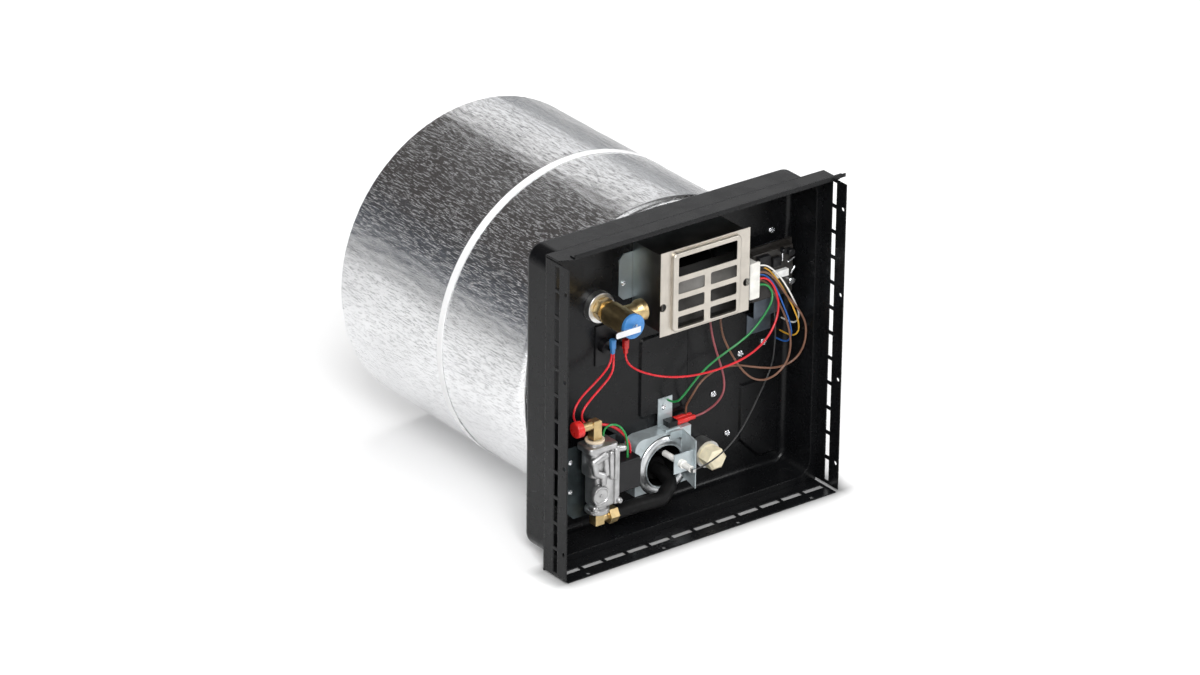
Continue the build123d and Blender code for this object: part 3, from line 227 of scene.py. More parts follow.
def rod(start, end, radius):
    """A bar with half-round ends: radius times the sine, and then the cosine, of a quarter turn at each end."""
    start, end = np.array(start, float), np.array(end, float)
    length = np.linalg.norm(end - start)
    ease = np.linspace(0, np.pi / 2, 6)
    profile = np.concatenate([
        np.stack([radius * np.sin(ease), -radius * np.cos(ease)], -1),
        np.stack([radius * np.cos(ease), length + radius * np.sin(ease)], -1)])
    return lathe(place(*start), end - start, profile, sides=24, angle=40.0)


def sleeve(low, high, along, stations):
    """A moulded sleeve: rounded rectangles along an axis, each a share of the full width and height."""
    low, high = np.array(low, float), np.array(high, float)
    first, second = others(along)
    size, least, rounding = high - low, 1e-6, 0.3
    sections = []
    for share, wide, tall in stations:
        width, height = max(size[first] * wide, least), max(size[second] * tall, least)
        sections.append((share * size[along], width, height, rounding * min(width, height)))
    return loft(low, high, along, sections, angle=50.0)


def screw_head(x, depth, z, radius, height, turn):
    """A pan head that faces the front: a dome of height 1 less half the cube of r, less a cross of two slots."""
    ring = np.append(np.linspace(0, 1, 17), 1.0)[:, None]
    angle = np.linspace(0, 2 * np.pi, 48, endpoint=False)
    across, up = ring * np.cos(angle), ring * np.sin(angle)
    near = np.minimum(np.abs(across), np.abs(up))
    far = np.maximum(np.abs(across), np.abs(up))
    # Of a slot and its sloping walls, as shares of the head's radius
    half_width, reach, side_wall, end_wall = 0.17, 0.62, 0.06, 0.1
    slot = np.clip((half_width - near) / side_wall, 0, 1) * np.clip((reach - far) / end_wall, 0, 1)
    rise = height * (1 - 0.5 * ring ** 3 - 0.5 * slot)
    rise[-1] = 0
    grid = np.stack([
        x + radius * (across * np.cos(turn) - up * np.sin(turn)), depth - BEND_LINE - rise,
        z + radius * (across * np.sin(turn) + up * np.cos(turn))], -1)
    return tidy(surface(grid * MM), angle=50.0)


def coil(start, direction, radius, wire, length, turns):
    """A round wire carried along a helix: radius times the cosine and sine of the turn, with a steady rise."""
    along = np.array(direction, float)
    first = np.roll(along, 1)
    second = np.cross(along, first)
    turn = np.linspace(0, 2 * np.pi * turns, 40 * turns + 1)[:, None]
    out = np.cos(turn) * first + np.sin(turn) * second
    middle = place(*start) / MM + radius * out + along * length * turn / turn[-1]
    tangent = radius * (np.cos(turn) * second - np.sin(turn) * first) + along * length / turn[-1]
    side = np.cross(tangent / np.linalg.norm(tangent, axis=1, keepdims=True), out)
    angle = np.linspace(0, 2 * np.pi, 12, endpoint=False)[:, None, None]
    tube = middle + wire / 2 * (np.cos(angle) * out + np.sin(angle) * side)
    tube = np.swapaxes(tube, 0, 1)
    ends = [np.broadcast_to(middle[step], tube[:1].shape) for step in (0, -1)]
    return tidy(surface(np.concatenate([ends[0], tube, ends[1]]) * MM), angle=60.0)


def join(meshes):
    """One mesh from several."""
    work = bmesh.new()
    for mesh in meshes:
        work.from_mesh(mesh)
        bpy.data.meshes.remove(mesh)
    whole = bpy.data.meshes.new("joined")
    work.to_mesh(whole)
    work.free()
    return whole


def add(name, data):
    """A new object in the scene, from a mesh, curve, lamp or lens."""
    obj = bpy.data.objects.new(name, data)
    bpy.context.collection.objects.link(obj)
    return obj


def piece(name, mesh, finish, nodes=()):
    """An object that rides the heater's body in a finish and a slot, and stands for the nodes it replaces."""
    mesh.name = name
    obj = add(name, mesh)
    obj.data.materials.append(finishes()[finish])
    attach(obj, BODY)
    if nodes:
        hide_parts(*nodes)
    return obj


# Finishes from shader nodes


class Flow:
    """A socket whose operators add Math nodes."""

    def __init__(self, tree, socket):
        self.tree, self.socket = tree, socket

    def math(self, operation, first, second=None):
        node = self.tree.nodes.new("ShaderNodeMath")
        node.operation = operation
        for slot, value in zip(node.inputs, (first, second)):
            feed(self.tree, slot, value)
        return Flow(self.tree, node.outputs[0])

    def __add__(self, other):
        return self.math("ADD", self, other)

    def __sub__(self, other):
        return self.math("SUBTRACT", self, other)

    def __rsub__(self, other):
        return self.math("SUBTRACT", other, self)

    def __mul__(self, other):
        return self.math("MULTIPLY", self, other)

    def __pow__(self, other):
        return self.math("POWER", self, other)

    __radd__ = __add__
    __rmul__ = __mul__


def set_stops(node, stops):
    """Gives a colour ramp its stops, each a position and a colour."""
    ramp = node.color_ramp.elements
    while len(ramp) < len(stops):
        ramp.new(1.0)
    for stop, (position, level) in zip(ramp, stops):
        stop.position, stop.color = position, (*level, 1.0)


def feed(tree, slot, value):
    """Links a flow to a socket, or sets its value."""
    if isinstance(value, Flow):
        tree.links.new(value.socket, slot)
    elif value is not None:
        if hasattr(slot.default_value, "__len__") and len(slot.default_value) == 4 and len(value) == 3:
            value = (*value, 1.0)
        slot.default_value = value


class Finish:
    """A material with one Principled shader, and a method that adds any other node."""

    def __init__(self, name, **constants):
        self.material = bpy.data.materials.new(name)
        self.material.use_nodes = True
        self.tree = self.material.node_tree
        self.shader = next(n for n in self.tree.nodes if n.type == "BSDF_PRINCIPLED")
        self.set(**constants)

    def set(self, **values):
        """Sets or links the shader's sockets: base_color feeds Base Color, and so on."""
        titles = {slot.name.lower().replace(" ", "_"): slot for slot in self.shader.inputs}
        for title, value in values.items():
            feed(self.tree, titles[title], value)
        return self

    def node(self, kind, output=None, settings=None, **inputs):
        """Adds a node by its kind, sets its properties and sockets, and gives its first or its named output."""
        node = self.tree.nodes.new("ShaderNode" + kind)
        for key, value in (settings or {}).items():
            if key == "stops":
                set_stops(node, value)
            else:
                setattr(node, key, value)
        titles = {}
        for slot in node.inputs:
            if slot.enabled:
                titles.setdefault(slot.name.lower().replace(" ", "_"), slot)
        for title, value in inputs.items():
            feed(self.tree, titles[title], value)
        chosen = next(slot for slot in node.outputs if slot.enabled and output in (None, slot.name))
        return Flow(self.tree, chosen)

    def spot(self, scale=(1.0, 1.0, 1.0)):
        """Object coordinates, stretched."""
        return self.node("Mapping", vector=self.node("TexCoord", output="Object"), scale=scale)

    def axis(self, name):
        """One of the Object coordinates: X, Y or Z, in metres."""
        return self.node("SeparateXYZ", output=name, vector=self.spot())

    def noise(self, size, detail=3.0, stretch=(1.0, 1.0, 1.0), rough=0.5):
        """Cloudy noise whose blotches are about size metres across."""
        return self.node("TexNoise", vector=self.spot(stretch), scale=1.0 / size, detail=detail, roughness=rough)

    def blend(self, amount, first, second):
        """A colour between two, by an amount from 0 to 1."""
        return self.node("Mix", settings={"data_type": "RGBA"}, factor=amount, a=first, b=second)

    def span(self, value, low, high, to_low=0.0, to_high=1.0):
        """A value's range carried to another, or to 0 and 1."""
        return self.node("MapRange", value=value, from_min=low, from_max=high, to_min=to_low, to_max=to_high)

    def spread(self, noise, low, high):
        """A noise's usual range carried to another range."""
        return self.span(noise, 0.3, 0.7, low, high)

    def clouded(self, noise, first, second):
        """A colour between two, by a noise."""
        return self.blend(self.spread(noise, 0.0, 1.0), first, second)

    def polish(self, noise, low, high):
        """Sets a roughness between two, by a noise."""
        self.set(roughness=self.spread(noise, low, high))

    def relief(self, height, depth, strength=1.0):
        """Bump of a real depth in metres, fed to Normal."""
        return self.set(normal=self.node("Bump", strength=strength, distance=depth, height=height))


def grey(level):
    """A colour whose three channels are the same."""
    return level, level, level


def shade(base, factor):
    """A colour made lighter or darker."""
    return tuple(min(1.0, channel * factor) for channel in base)


def pan_paint(hue):
    """Gloss black stove paint with faint orange peel and dust."""
    finish = Finish("pan_paint", specular_ior_level=0.2)
    cloud = finish.noise(0.05, 4.0)
    finish.set(base_color=finish.blend(finish.span(cloud, 0.35, 0.75), hue, shade(hue, 1.7)))
    finish.polish(finish.noise(0.02), 0.22, 0.32)
    edge = finish.node("Bevel", radius=0.0016)
    peel = finish.node("Bump", strength=0.3, distance=0.00002, height=finish.noise(0.0016, 2.0), normal=edge)
    return finish.set(normal=peel).material


def foil_skin(hue):
    """Bright foil: short dashes of fine crease that run along the tank, over the mesh's own folds."""
    finish = Finish("foil", metallic=1.0)
    long = finish.noise(0.0011, 2.0, (1.0, 0.09, 1.0), 0.55)
    short = finish.noise(0.0008, 2.0, (1.0, 0.2, 1.0), 0.6)
    cloud = finish.noise(0.05, 3.0, (1.0, 0.5, 1.0))
    tone = finish.clouded(cloud, hue, shade(hue, 0.9))
    # Painted shade: darker on the upper part of the rolled front edge, to tone down the lamp's highlight there
    edge = finish.span(finish.axis("Y"), 0.0805, 0.0830, 1.0, 0.0) * finish.span(finish.axis("Z"), 0.25, 0.33)
    finish.set(base_color=finish.blend(edge, tone, shade(hue, 0.34)))
    finish.polish(cloud, 0.16, 0.26)
    dash = finish.node("MapRange", settings={"interpolation_type": "SMOOTHSTEP"}, value=long, from_min=0.54,
                       from_max=0.70, to_min=0.0, to_max=1.0)
    return finish.relief(dash * 0.6 + short * 0.2, 0.00047).material


def white_tape(hue):
    """Matt white banding with a faint weave across it."""
    finish = Finish("white_tape")
    weave = finish.node("TexWave", settings={"bands_direction": "Y"}, vector=finish.spot(), scale=260.0,
                        distortion=0.6, detail=1.0)
    cloud = finish.noise(0.03, 3.0)
    finish.set(base_color=finish.clouded(cloud, hue, shade(hue, 0.94)))
    finish.polish(cloud, 0.45, 0.6)
    return finish.relief(weave, 0.00005, 0.3).material


def zinc_sheet(hue):
    """Galvanised sheet with a soft spangle and blue-grey staining."""
    finish = Finish("zinc_sheet", metallic=0.55)
    spangle = finish.node("TexVoronoi", vector=finish.spot(), scale=110.0, randomness=1.0)
    grain = finish.node("SeparateColor", color=finish.node(
        "TexVoronoi", output="Color", vector=finish.spot(), scale=110.0))
    cloud = finish.noise(0.03, 4.0)
    tone = finish.span(grain, 0.0, 1.0, 0.0, 0.5) + finish.spread(cloud, 0.0, 0.5)
    finish.set(base_color=finish.blend(tone, shade(hue, 0.82), shade(hue, 1.12)))
    finish.set(roughness=finish.span(tone, 0.0, 1.0, 0.40, 0.27))
    return finish.relief(spangle, 0.00003, 0.2).material


def box_sheet(hue):
    """Sheet with painted shade: grey on the outer tab, and darker over the box towards its front, standing in for
    the dark room that the metal reflects.
    """
    finish = Finish("box_sheet", metallic=1.0)
    cloud = finish.noise(0.03, 4.0)
    # Painted shade off the outer tab, darkest at the box's front
    off_tab = finish.span(finish.axis("X"), -0.0425, -0.0405)
    painted_box_shade = off_tab * finish.span(finish.axis("Y"), 0.074, 0.034, 0.25, 1.0)
    clean = finish.clouded(cloud, shade(hue, 0.85), shade(hue, 1.1))
    dark = finish.clouded(cloud, (0.10, 0.095, 0.085), (0.17, 0.16, 0.15))
    finish.set(base_color=finish.blend(painted_box_shade, clean, dark))
    finish.polish(cloud, 0.34, 0.46)
    return finish.relief(finish.noise(0.002, 2.0), 0.00003, 0.2).material


def baffle_sheet(hue):
    """Sheet with painted light by height: painted shade above, a bright band across it as a painted reflection, and
    dim clouded levels below.
    """
    finish = Finish("baffle_sheet", metallic=0.6)
    cloud = finish.noise(0.02, 4.0)
    # Painted light and shade by height: dark at the top, a bright painted reflection in a band, dim below
    painted_light_levels = [(0.0, 0.07), (0.2, 0.1), (0.45, 0.16), (0.5, 0.55), (0.73, 0.6), (0.77, 0.03), (1.0, 0.02)]
    painted_light_by_height = finish.node("ValToRGB", settings={"stops": [(stop, shade(hue, level)) for stop, level in painted_light_levels]},
                        fac=finish.span(finish.axis("Z"), 0.2645, 0.3265))
    finish.set(base_color=finish.blend(finish.spread(cloud, 0.0, 0.3), painted_light_by_height, shade(hue, 0.05)))
    finish.polish(cloud, 0.36, 0.5)
    return finish.relief(finish.noise(0.002, 2.0), 0.00003, 0.2).material


def satin_steel(name, hue, low=0.3, high=0.42):
    """Rolled steel with fine streaks and slight clouding."""
    finish = Finish(name, metallic=1.0)
    streak = finish.noise(0.0015, 3.0, (1.0, 1.0, 0.08))
    cloud = finish.noise(0.02, 3.0)
    finish.set(base_color=finish.clouded(cloud, shade(hue, 0.9), shade(hue, 1.06)))
    finish.polish(streak, low, high)
    return finish.relief(streak, 0.00002, 0.25).material


def cast_metal(name, hue, low, high, grain=0.0009, depth=0.00006):
    """Cast or turned metal: clouded colour, uneven polish and a fine skin."""
    finish = Finish(name, metallic=1.0)
    cloud = finish.noise(0.012, 4.0)
    finish.set(base_color=finish.clouded(cloud, shade(hue, 0.78), shade(hue, 1.12)))
    finish.polish(finish.noise(0.004), low, high)
    return finish.relief(finish.noise(grain, 2.0), depth, 0.4).material


def moulding(name, hue, low=0.3, high=0.45, depth=0.00003, coat=0.0, shine=0.5):
    """Moulded plastic or rubber: slight colour drift and a fine skin."""
    finish = Finish(name, coat_weight=coat, specular_ior_level=shine)
    cloud = finish.noise(0.008, 3.0)
    finish.set(base_color=finish.clouded(cloud, shade(hue, 0.88), shade(hue, 1.08)))
    finish.polish(finish.noise(0.005), low, high)
    return finish.relief(finish.noise(0.0006, 2.0), depth, 0.3).material


def lead_skin(name, hue):
    """Plastic insulation under a thin gloss, with slight colour drift and a fine skin."""
    finish = Finish(name, coat_weight=0.15, coat_roughness=0.2)
    cloud = finish.noise(0.02, 2.0)
    finish.set(base_color=finish.clouded(cloud, shade(hue, 0.85), shade(hue, 1.1)))
    finish.polish(cloud, 0.3, 0.42)
    return finish.relief(finish.noise(0.0008, 2.0), 0.00003, 0.25).material


FINISHES = {}
LEAD_HUES = {
    "red": (0.60, 0.012, 0.022), "green": (0.012, 0.22, 0.05), "brown": (0.17, 0.078, 0.045),
    "pink": (0.28, 0.065, 0.075), "blue": (0.016, 0.11, 0.42), "yellow": (0.72, 0.38, 0.035),
    "white": (0.80, 0.79, 0.76), "grey": (0.022, 0.022, 0.022),
}


def finishes():
    """Makes each finish once, from the colours in the scene's properties."""
    if FINISHES:
        return FINISHES
    hues = bpy.context.scene.heater_colours
    FINISHES.update(
        pan=pan_paint(hues.pan_paint),
        foil=foil_skin(hues.foil),
        tape=white_tape(hues.tape),
        zinc=zinc_sheet(hues.zinc),
        rim=cast_metal("rim_zinc", (0.80, 0.82, 0.83), 0.3, 0.42),
        box=box_sheet(hues.zinc),
        baffle=baffle_sheet((0.60, 0.58, 0.55)),
        # Near-black: soot on the flue and burner, and the painted shadow ring outside the burner rim
        soot=moulding("soot", grey(0.005), 0.6, 0.8, 0.00006, shine=0.1),
        dark_zinc=cast_metal("dark_zinc", (0.055, 0.068, 0.072), 0.36, 0.5),
        board_zinc=cast_metal("board_zinc", (0.15, 0.175, 0.205), 0.36, 0.5),
        grille=satin_steel("grille_steel", hues.grille, 0.36, 0.5),
        steel=satin_steel("plain_steel", (0.58, 0.58, 0.57)),
        bright=satin_steel("bright_steel", (0.75, 0.76, 0.78), 0.14, 0.26),
        alloy=cast_metal("tank_alloy", (0.72, 0.72, 0.71), 0.3, 0.45),
        brass=cast_metal("brass", hues.brass, 0.34, 0.5),
        casting=cast_metal("die_casting", hues.casting, 0.34, 0.5, 0.0006, 0.00012),
        nylon=moulding("nylon", hues.nylon, 0.34, 0.5, 0.00008),
        blue=moulding("blue_plastic", hues.blue, 0.25, 0.4),
        red=moulding("red_plastic", hues.red, 0.25, 0.4),
        black=moulding("black_plastic", (0.007, 0.007, 0.008), 0.28, 0.42, shine=0.28),
        rubber=moulding("black_rubber", (0.0035, 0.0035, 0.0036), 0.42, 0.58, 0.00006, shine=0.16),
        potting=moulding("board_potting", (0.018, 0.016, 0.014), 0.3, 0.45),
        plug=moulding("plug_plastic", (0.78, 0.77, 0.72), 0.35, 0.5),
        white=moulding("white_plastic", (0.86, 0.86, 0.85), 0.35, 0.5),
        cream=moulding("cream_ring", (0.62, 0.52, 0.38), 0.4, 0.55),
        ceramic=moulding("ceramic", hues.ceramic, 0.18, 0.3, 0.00002, 0.6),
        wool=moulding("glass_wool", (0.70, 0.62, 0.30), 0.8, 0.95, 0.0004),
    )
    for name, hue in LEAD_HUES.items():
        FINISHES[name + "_lead"] = lead_skin(name + "_lead", hue)
    return FINISHES


NODE_FINISH = {
    "pan": "control_pan left_flange right_flange bottom_flange top_flange drip_rail",
    "tape": "tank_strap",
    "alloy": "tank_shell water_fittings relief_spud drain_spud",
    "zinc": "burner_hood electrode_bracket ground_bracket",
    "board_zinc": "board_bracket",
    "box": "exhaust_box",
    "baffle": "exhaust_baffle",
    "soot": "flue_tube main_burner",
    "dark_zinc": "gas_valve_bracket",
    "grille": "exhaust_grille",
    "steel": "relief_stem valve_plunger electrode_rods",
    "bright": "relief_lever",
    "brass": "relief_valve_body gas_inlet_elbow gas_outlet_elbow",
    "blue": "relief_cap",
    "red": "gas_inlet_cap",
    "nylon": "drain_plug",
    "black": "thermostat_plate thermostat_switches valve_coil thermal_cutoff",
    "potting": "control_board",
    "rubber": "manifold_tube",
    "ceramic": "spark_electrode",
}


class HEATER_OT_finishes(bpy.types.Operator):
    """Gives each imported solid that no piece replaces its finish"""

    bl_idname = "heater.finishes"
    bl_label = "Finishes"

    def execute(self, context):
        table = finishes()
        for finish, names in NODE_FINISH.items():
            for name in names.split():
                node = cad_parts[name]
                node.data.materials.clear()
                node.data.materials.append(table[finish])
        return {"FINISHED"}


class HEATER_OT_foil(bpy.types.Operator):
    """Wraps the tank in creased foil: radius less a filtered noise whose creases run along the tank"""

    bl_idname = "heater.foil"
    bl_label = "Foil wrap"

    def execute(self, context):
        sizes = context.scene.heater_sizes
        low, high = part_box("foil_jacket")
        radius, middle = (high.x - low.x) / 2, (low.z + high.z) / 2
        turns, stations = 600, 150
        turn = np.linspace(0, 2 * np.pi, turns, endpoint=False)
        roll = sizes.foil_roll
        along = np.linspace(low.y + roll, high.y, stations)
        draws = np.random.default_rng(7)
        around_wave = np.fft.fftfreq(turns, 2 * np.pi * radius / turns)
        along_wave = np.fft.fftfreq(stations, (high.y - low.y) / stations)

        def folds(around_length, along_length):
            """White noise kept only at waves longer than these lengths, scaled to unit spread."""
            white = np.fft.fft2(draws.standard_normal((stations, turns)))
            waves = (along_wave[:, None] * along_length) ** 2 + (around_wave * around_length) ** 2
            sharpness = 6
            field = np.fft.ifft2(white * np.exp(-waves * sharpness)).real
            return field / field.std()

        def rings(radii, y):
            """Circles about the tank's axis, one for each radius and Y."""
            return np.stack(np.broadcast_arrays(radii * np.sin(turn), y, middle + radii * np.cos(turn)), -1)

        creases = 1 - np.abs(np.tanh(folds(sizes.crease_width, sizes.crease_length)))
        dents = np.clip(folds(0.03, 0.06), -2, 2)
        dent_depth, smooth_front = 0.0003, 0.012
        depth = sizes.crease_height * (1 - creases) + dent_depth * (dents + 2) / 4
        depth *= np.clip((along - along[0]) / smooth_front, 0, 1)[:, None]
        shell = rings(radius - depth, along[:, None])
        # Flat rear disc, drawn in towards its middle with a soft outer edge
        shrink = np.array([0.995, 0.985, 0.96, 0.9, 0.8, 0.65, 0.5, 0.35, 0.2, 0.08, 0.0])
        dip = np.array([0.0, 0.0003, 0.0006, 0.0010, 0.0014, 0.0012, 0.0015, 0.0011, 0.0013, 0.001, 0.001])
        ripple_depth, flat_share = 0.0004, 0.97
        ripple = np.clip(folds(0.02, 0.05)[: len(shrink)], -1.5, 1.5) * ripple_depth
        ripple *= shrink[:, None] < flat_share
        ripple[-1] = 0
        disc = rings(radius * shrink[:, None], high.y - dip[:, None] - np.abs(ripple))
        # Front edge turned in by a quarter circle, then flat over the end of the blanket
        turned_in = 0.03
        bend = np.linspace(0, np.pi / 2, 8, endpoint=False)[:, None]
        inner = np.concatenate([[[radius - turned_in]], radius - roll * (1 - np.sin(bend))])
        front = np.concatenate([[[low.y]], low.y + roll * (1 - np.cos(bend))])
        mesh = tidy(surface(np.concatenate([rings(inner, front), shell, disc])), angle=60.0)
        piece("foil_wrap", mesh, "foil", nodes=("foil_jacket",))
        self.blanket(roll / MM + 1)
        return {"FINISHED"}

    def blanket(self, inset):
        """Glass wool under the foil: a lathe of a cup's section whose front corner is rounded off by the inset."""
        low, high = corners("insulation_blanket")
        outer, rear = (high[0] - low[0]) / 2, high[1] - low[1] - 2.5
        skin, inner, floor = outer - 0.8, outer - 22, rear - 17
        profile = [(outer - inset, 0), (outer - 0.3 * inset, 0.3 * inset), (skin, inset), (skin, rear), (0, rear),
                   (0, floor), (inner, floor), (inner, 0), (outer - inset, 0)]
        mesh = lathe(place(0, low[1], (low[2] + high[2]) / 2), (0, 1, 0), profile, sides=96)
        piece("blanket_roll", mesh, "wool", nodes=("insulation_blanket",))


# Leads: colour, thickness, length and route, whose points are X, depth and Z in millimetres
LEADS = {
    "red_lead_main": ("red", "main_lead", 307.9, [
        (-63.45, 74.2, 230), (-63.45, 74.2, 221), (-57, 68, 211), (-43, 61, 203), (-22, 55, 195), (2, 50, 190),
        (28, 46, 188), (56, 43, 189), (84, 41, 193), (106, 40, 201), (124, 41, 213), (137, 44, 228),
        (144, 48, 244), (144, 53, 259), (141, 58, 271), (132, 62, 280), (118.5, 62, 280)]),
    "red_lead_a": ("red", "main_lead", 202.5, [
        (-84.05, 74.2, 235), (-84.05, 74.2, 227), (-90.5, 72, 220), (-100, 70, 214), (-112, 67, 209),
        (-125, 63, 205), (-139, 60, 199), (-150, 57, 190), (-153, 56, 178), (-146, 55.5, 168),
        (-133, 55, 164), (-117, 55, 161), (-102, 55, 156), (-90, 53.5, 148.5), (-82, 51, 140),
        (-79.5, 48, 130), (-79.5, 48, 119)]),
    "red_lead_b": ("red", "main_lead", 189.9, [
        (-80.65, 74.2, 235), (-80.65, 74.2, 227), (-85, 69, 217), (-94, 65, 210), (-106, 61.5, 205),
        (-119, 57.5, 200), (-132, 54, 194), (-142, 53, 185), (-143, 52.5, 174), (-134, 52, 166),
        (-119.5, 51, 163), (-105, 50, 158), (-92.5, 48, 149), (-84, 45, 139), (-80.5, 40, 130),
        (-80.5, 40, 119)]),
    "valve_green_lead": ("green", "main_lead", 73.4, [
        (-115.5, 47, 147), (-115.5, 47, 156), (-109, 43, 163), (-99, 39, 161), (-92.5, 35, 151), (-90.5, 33.5, 140),
        (-90, 33, 129.5), (-90, 33, 119)]),
    "green_lead": ("green", "main_lead", 222.7, [
        (118.5, 62, 272), (131, 62, 272), (140, 58, 264), (138, 52.5, 252.5), (127, 48.5, 243), (114, 46, 233),
        (101, 46, 222), (86, 48, 213), (71, 53, 203), (56, 59, 192), (43, 64, 180), (33, 67, 168),
        (23, 69, 156), (12, 74, 142), (12, 89.6, 142)]),
    "brown_lead_outer": ("brown", "main_lead", 348.6, [
        (118.5, 60.5, 289), (129, 60.5, 289), (140, 57, 281), (149, 53, 267), (158, 51, 252), (168, 50, 240),
        (178, 49, 226), (186, 49, 210), (188, 50, 193), (186, 52, 177), (179, 55, 164), (167, 58, 157),
        (152, 61, 155.5), (135, 64, 159), (119, 67, 164), (104, 70, 169), (88, 71, 172), (70, 71, 172.5),
        (53, 70.5, 168), (42, 71, 159), (36.5, 74, 147), (36, 80, 137), (37, 86.4, 128), (37, 86.4, 117.9)]),
    "brown_lead_inner": ("brown", "main_lead", 311.8, [
        (118.5, 65.5, 276), (129, 65.5, 276), (140, 65, 268), (148, 63.5, 255), (155, 62, 240), (161, 60, 226),
        (166, 58, 211), (169, 56, 195), (168, 54, 179), (162, 53, 163), (149, 54, 151), (132, 56.5, 146),
        (116, 60.5, 151), (104, 65, 164), (95, 69.5, 180), (88, 74, 196), (83, 78, 212), (81, 79.5, 229),
        (80, 80, 246), (80, 80, 263.5)]),
    "pink_lead": ("pink", "main_lead", 171.4, [
        (57, 70, 263.5), (57, 70, 249), (58, 69, 234), (60, 67, 218), (64, 65.5, 202), (69, 64.5, 186),
        (74, 64, 170), (77, 64, 155), (76, 65, 141), (70, 69, 129), (62, 75, 120), (54, 79.2, 114.7),
        (45, 79.2, 114.7)]),
    "spark_lead": ("grey", "thin_lead", 275.3, [
        (2.7, 24, 79), (13, 24, 79), (27, 24.4, 82), (44, 26, 87), (61, 30.5, 92.5), (77, 36.5, 98.5),
        (92, 43.5, 105), (107, 51.5, 112.5), (122, 59.5, 121), (136, 66, 131.5), (148, 70.5, 143.5),
        (156, 72.5, 158), (159, 73.5, 174), (160, 73.5, 190), (159, 73, 206), (157, 72.5, 222),
        (157, 72.3, 235), (157, 72.3, 246)]),
    "blue_lead": ("blue", "thin_lead", 154.3, [
        (118.5, 63.5, 284.5), (129, 63.5, 284.5), (139, 61.5, 277), (147, 59, 264), (153, 57, 249),
        (159, 56, 234), (166, 57, 219), (172, 59, 204), (175.5, 62, 191), (176, 69, 181), (175.8, 77, 178),
        (175.5, 85.5, 177), (175.5, 93.8, 177)]),
    "yellow_lead": ("yellow", "thin_lead", 164.2, [
        (118.5, 64, 294), (129, 64, 294), (140, 62, 286), (150, 58.5, 272), (158, 55, 256), (166, 54, 241),
        (174, 54, 225), (181, 56, 209), (185, 60, 196), (184.5, 67, 187), (183.5, 76, 184.7), (183, 85, 184),
        (183, 93.8, 184)]),
    "white_lead": ("white", "thin_lead", 153.5, [
        (118.5, 60, 298), (129, 60, 298), (140, 56.5, 290), (150, 52.5, 277), (159, 50, 261), (168, 51, 245),
        (177, 54, 230), (184, 59, 215), (186, 67, 204), (185.5, 76, 200.7), (185, 85, 200), (185, 93.8, 200)]),
}


class HEATER_OT_leads(bpy.types.Operator):
    """Lays each lead as one smooth NURBS line through its route"""

    bl_idname = "heater.leads"
    bl_label = "Leads"

    def execute(self, context):
        for node, (hue, thickness, length, route) in LEADS.items():
            diameter = getattr(context.scene.heater_sizes, thickness)
            curve = bpy.data.curves.new(node + "_cord", "CURVE")
            curve.dimensions = "3D"
            curve.bevel_depth = diameter / 2
            curve.bevel_resolution = 4
            curve.use_fill_caps = True
            spline = curve.splines.new("NURBS")
            spline.points.add(len(route) - 1)
            points = np.array([place(*stop) for stop in route])
            spline.points.foreach_set("co", np.hstack([points, np.ones((len(points), 1))]).ravel())
            spline.order_u = 3
            spline.use_endpoint_u = True
            spline.resolution_u = 6
            lead = piece(node + "_cord", curve, hue + "_lead", nodes=(node,))
            length * MM
        return {"FINISHED"}


class HEATER_OT_screws(bpy.types.Operator):
    """Pan-head screws on the back of the pan, and small ones on the tab and brackets"""

    bl_idname = "heater.screws"
    bl_label = "Screws"

    def execute(self, context):
        places = [(166, 320), (83.5, 127.6), (105.8, 69.4), (123, 170), (157.7, 176)]
        heads = [
            screw_head(x, BACK, z, radius=4.5, height=3.0, turn=0.4 * step)
            for step, (x, z) in enumerate(places)]
        piece("pan_screw_heads", join(heads), "bright", nodes=("pan_screws",))
        small = [(-53.7, 92.6, 310.2, 3.2), (5.2, 89.5, 134.6, 3.4), (-157, 55, 83.8, 3.2), (-157, 55, 122, 3.2)]
        heads = [screw_head(x, depth, z, radius, height=1.9, turn=0.7) for x, depth, z, radius in small]
        piece("small_screws", join(heads), "bright")
        return {"FINISHED"}


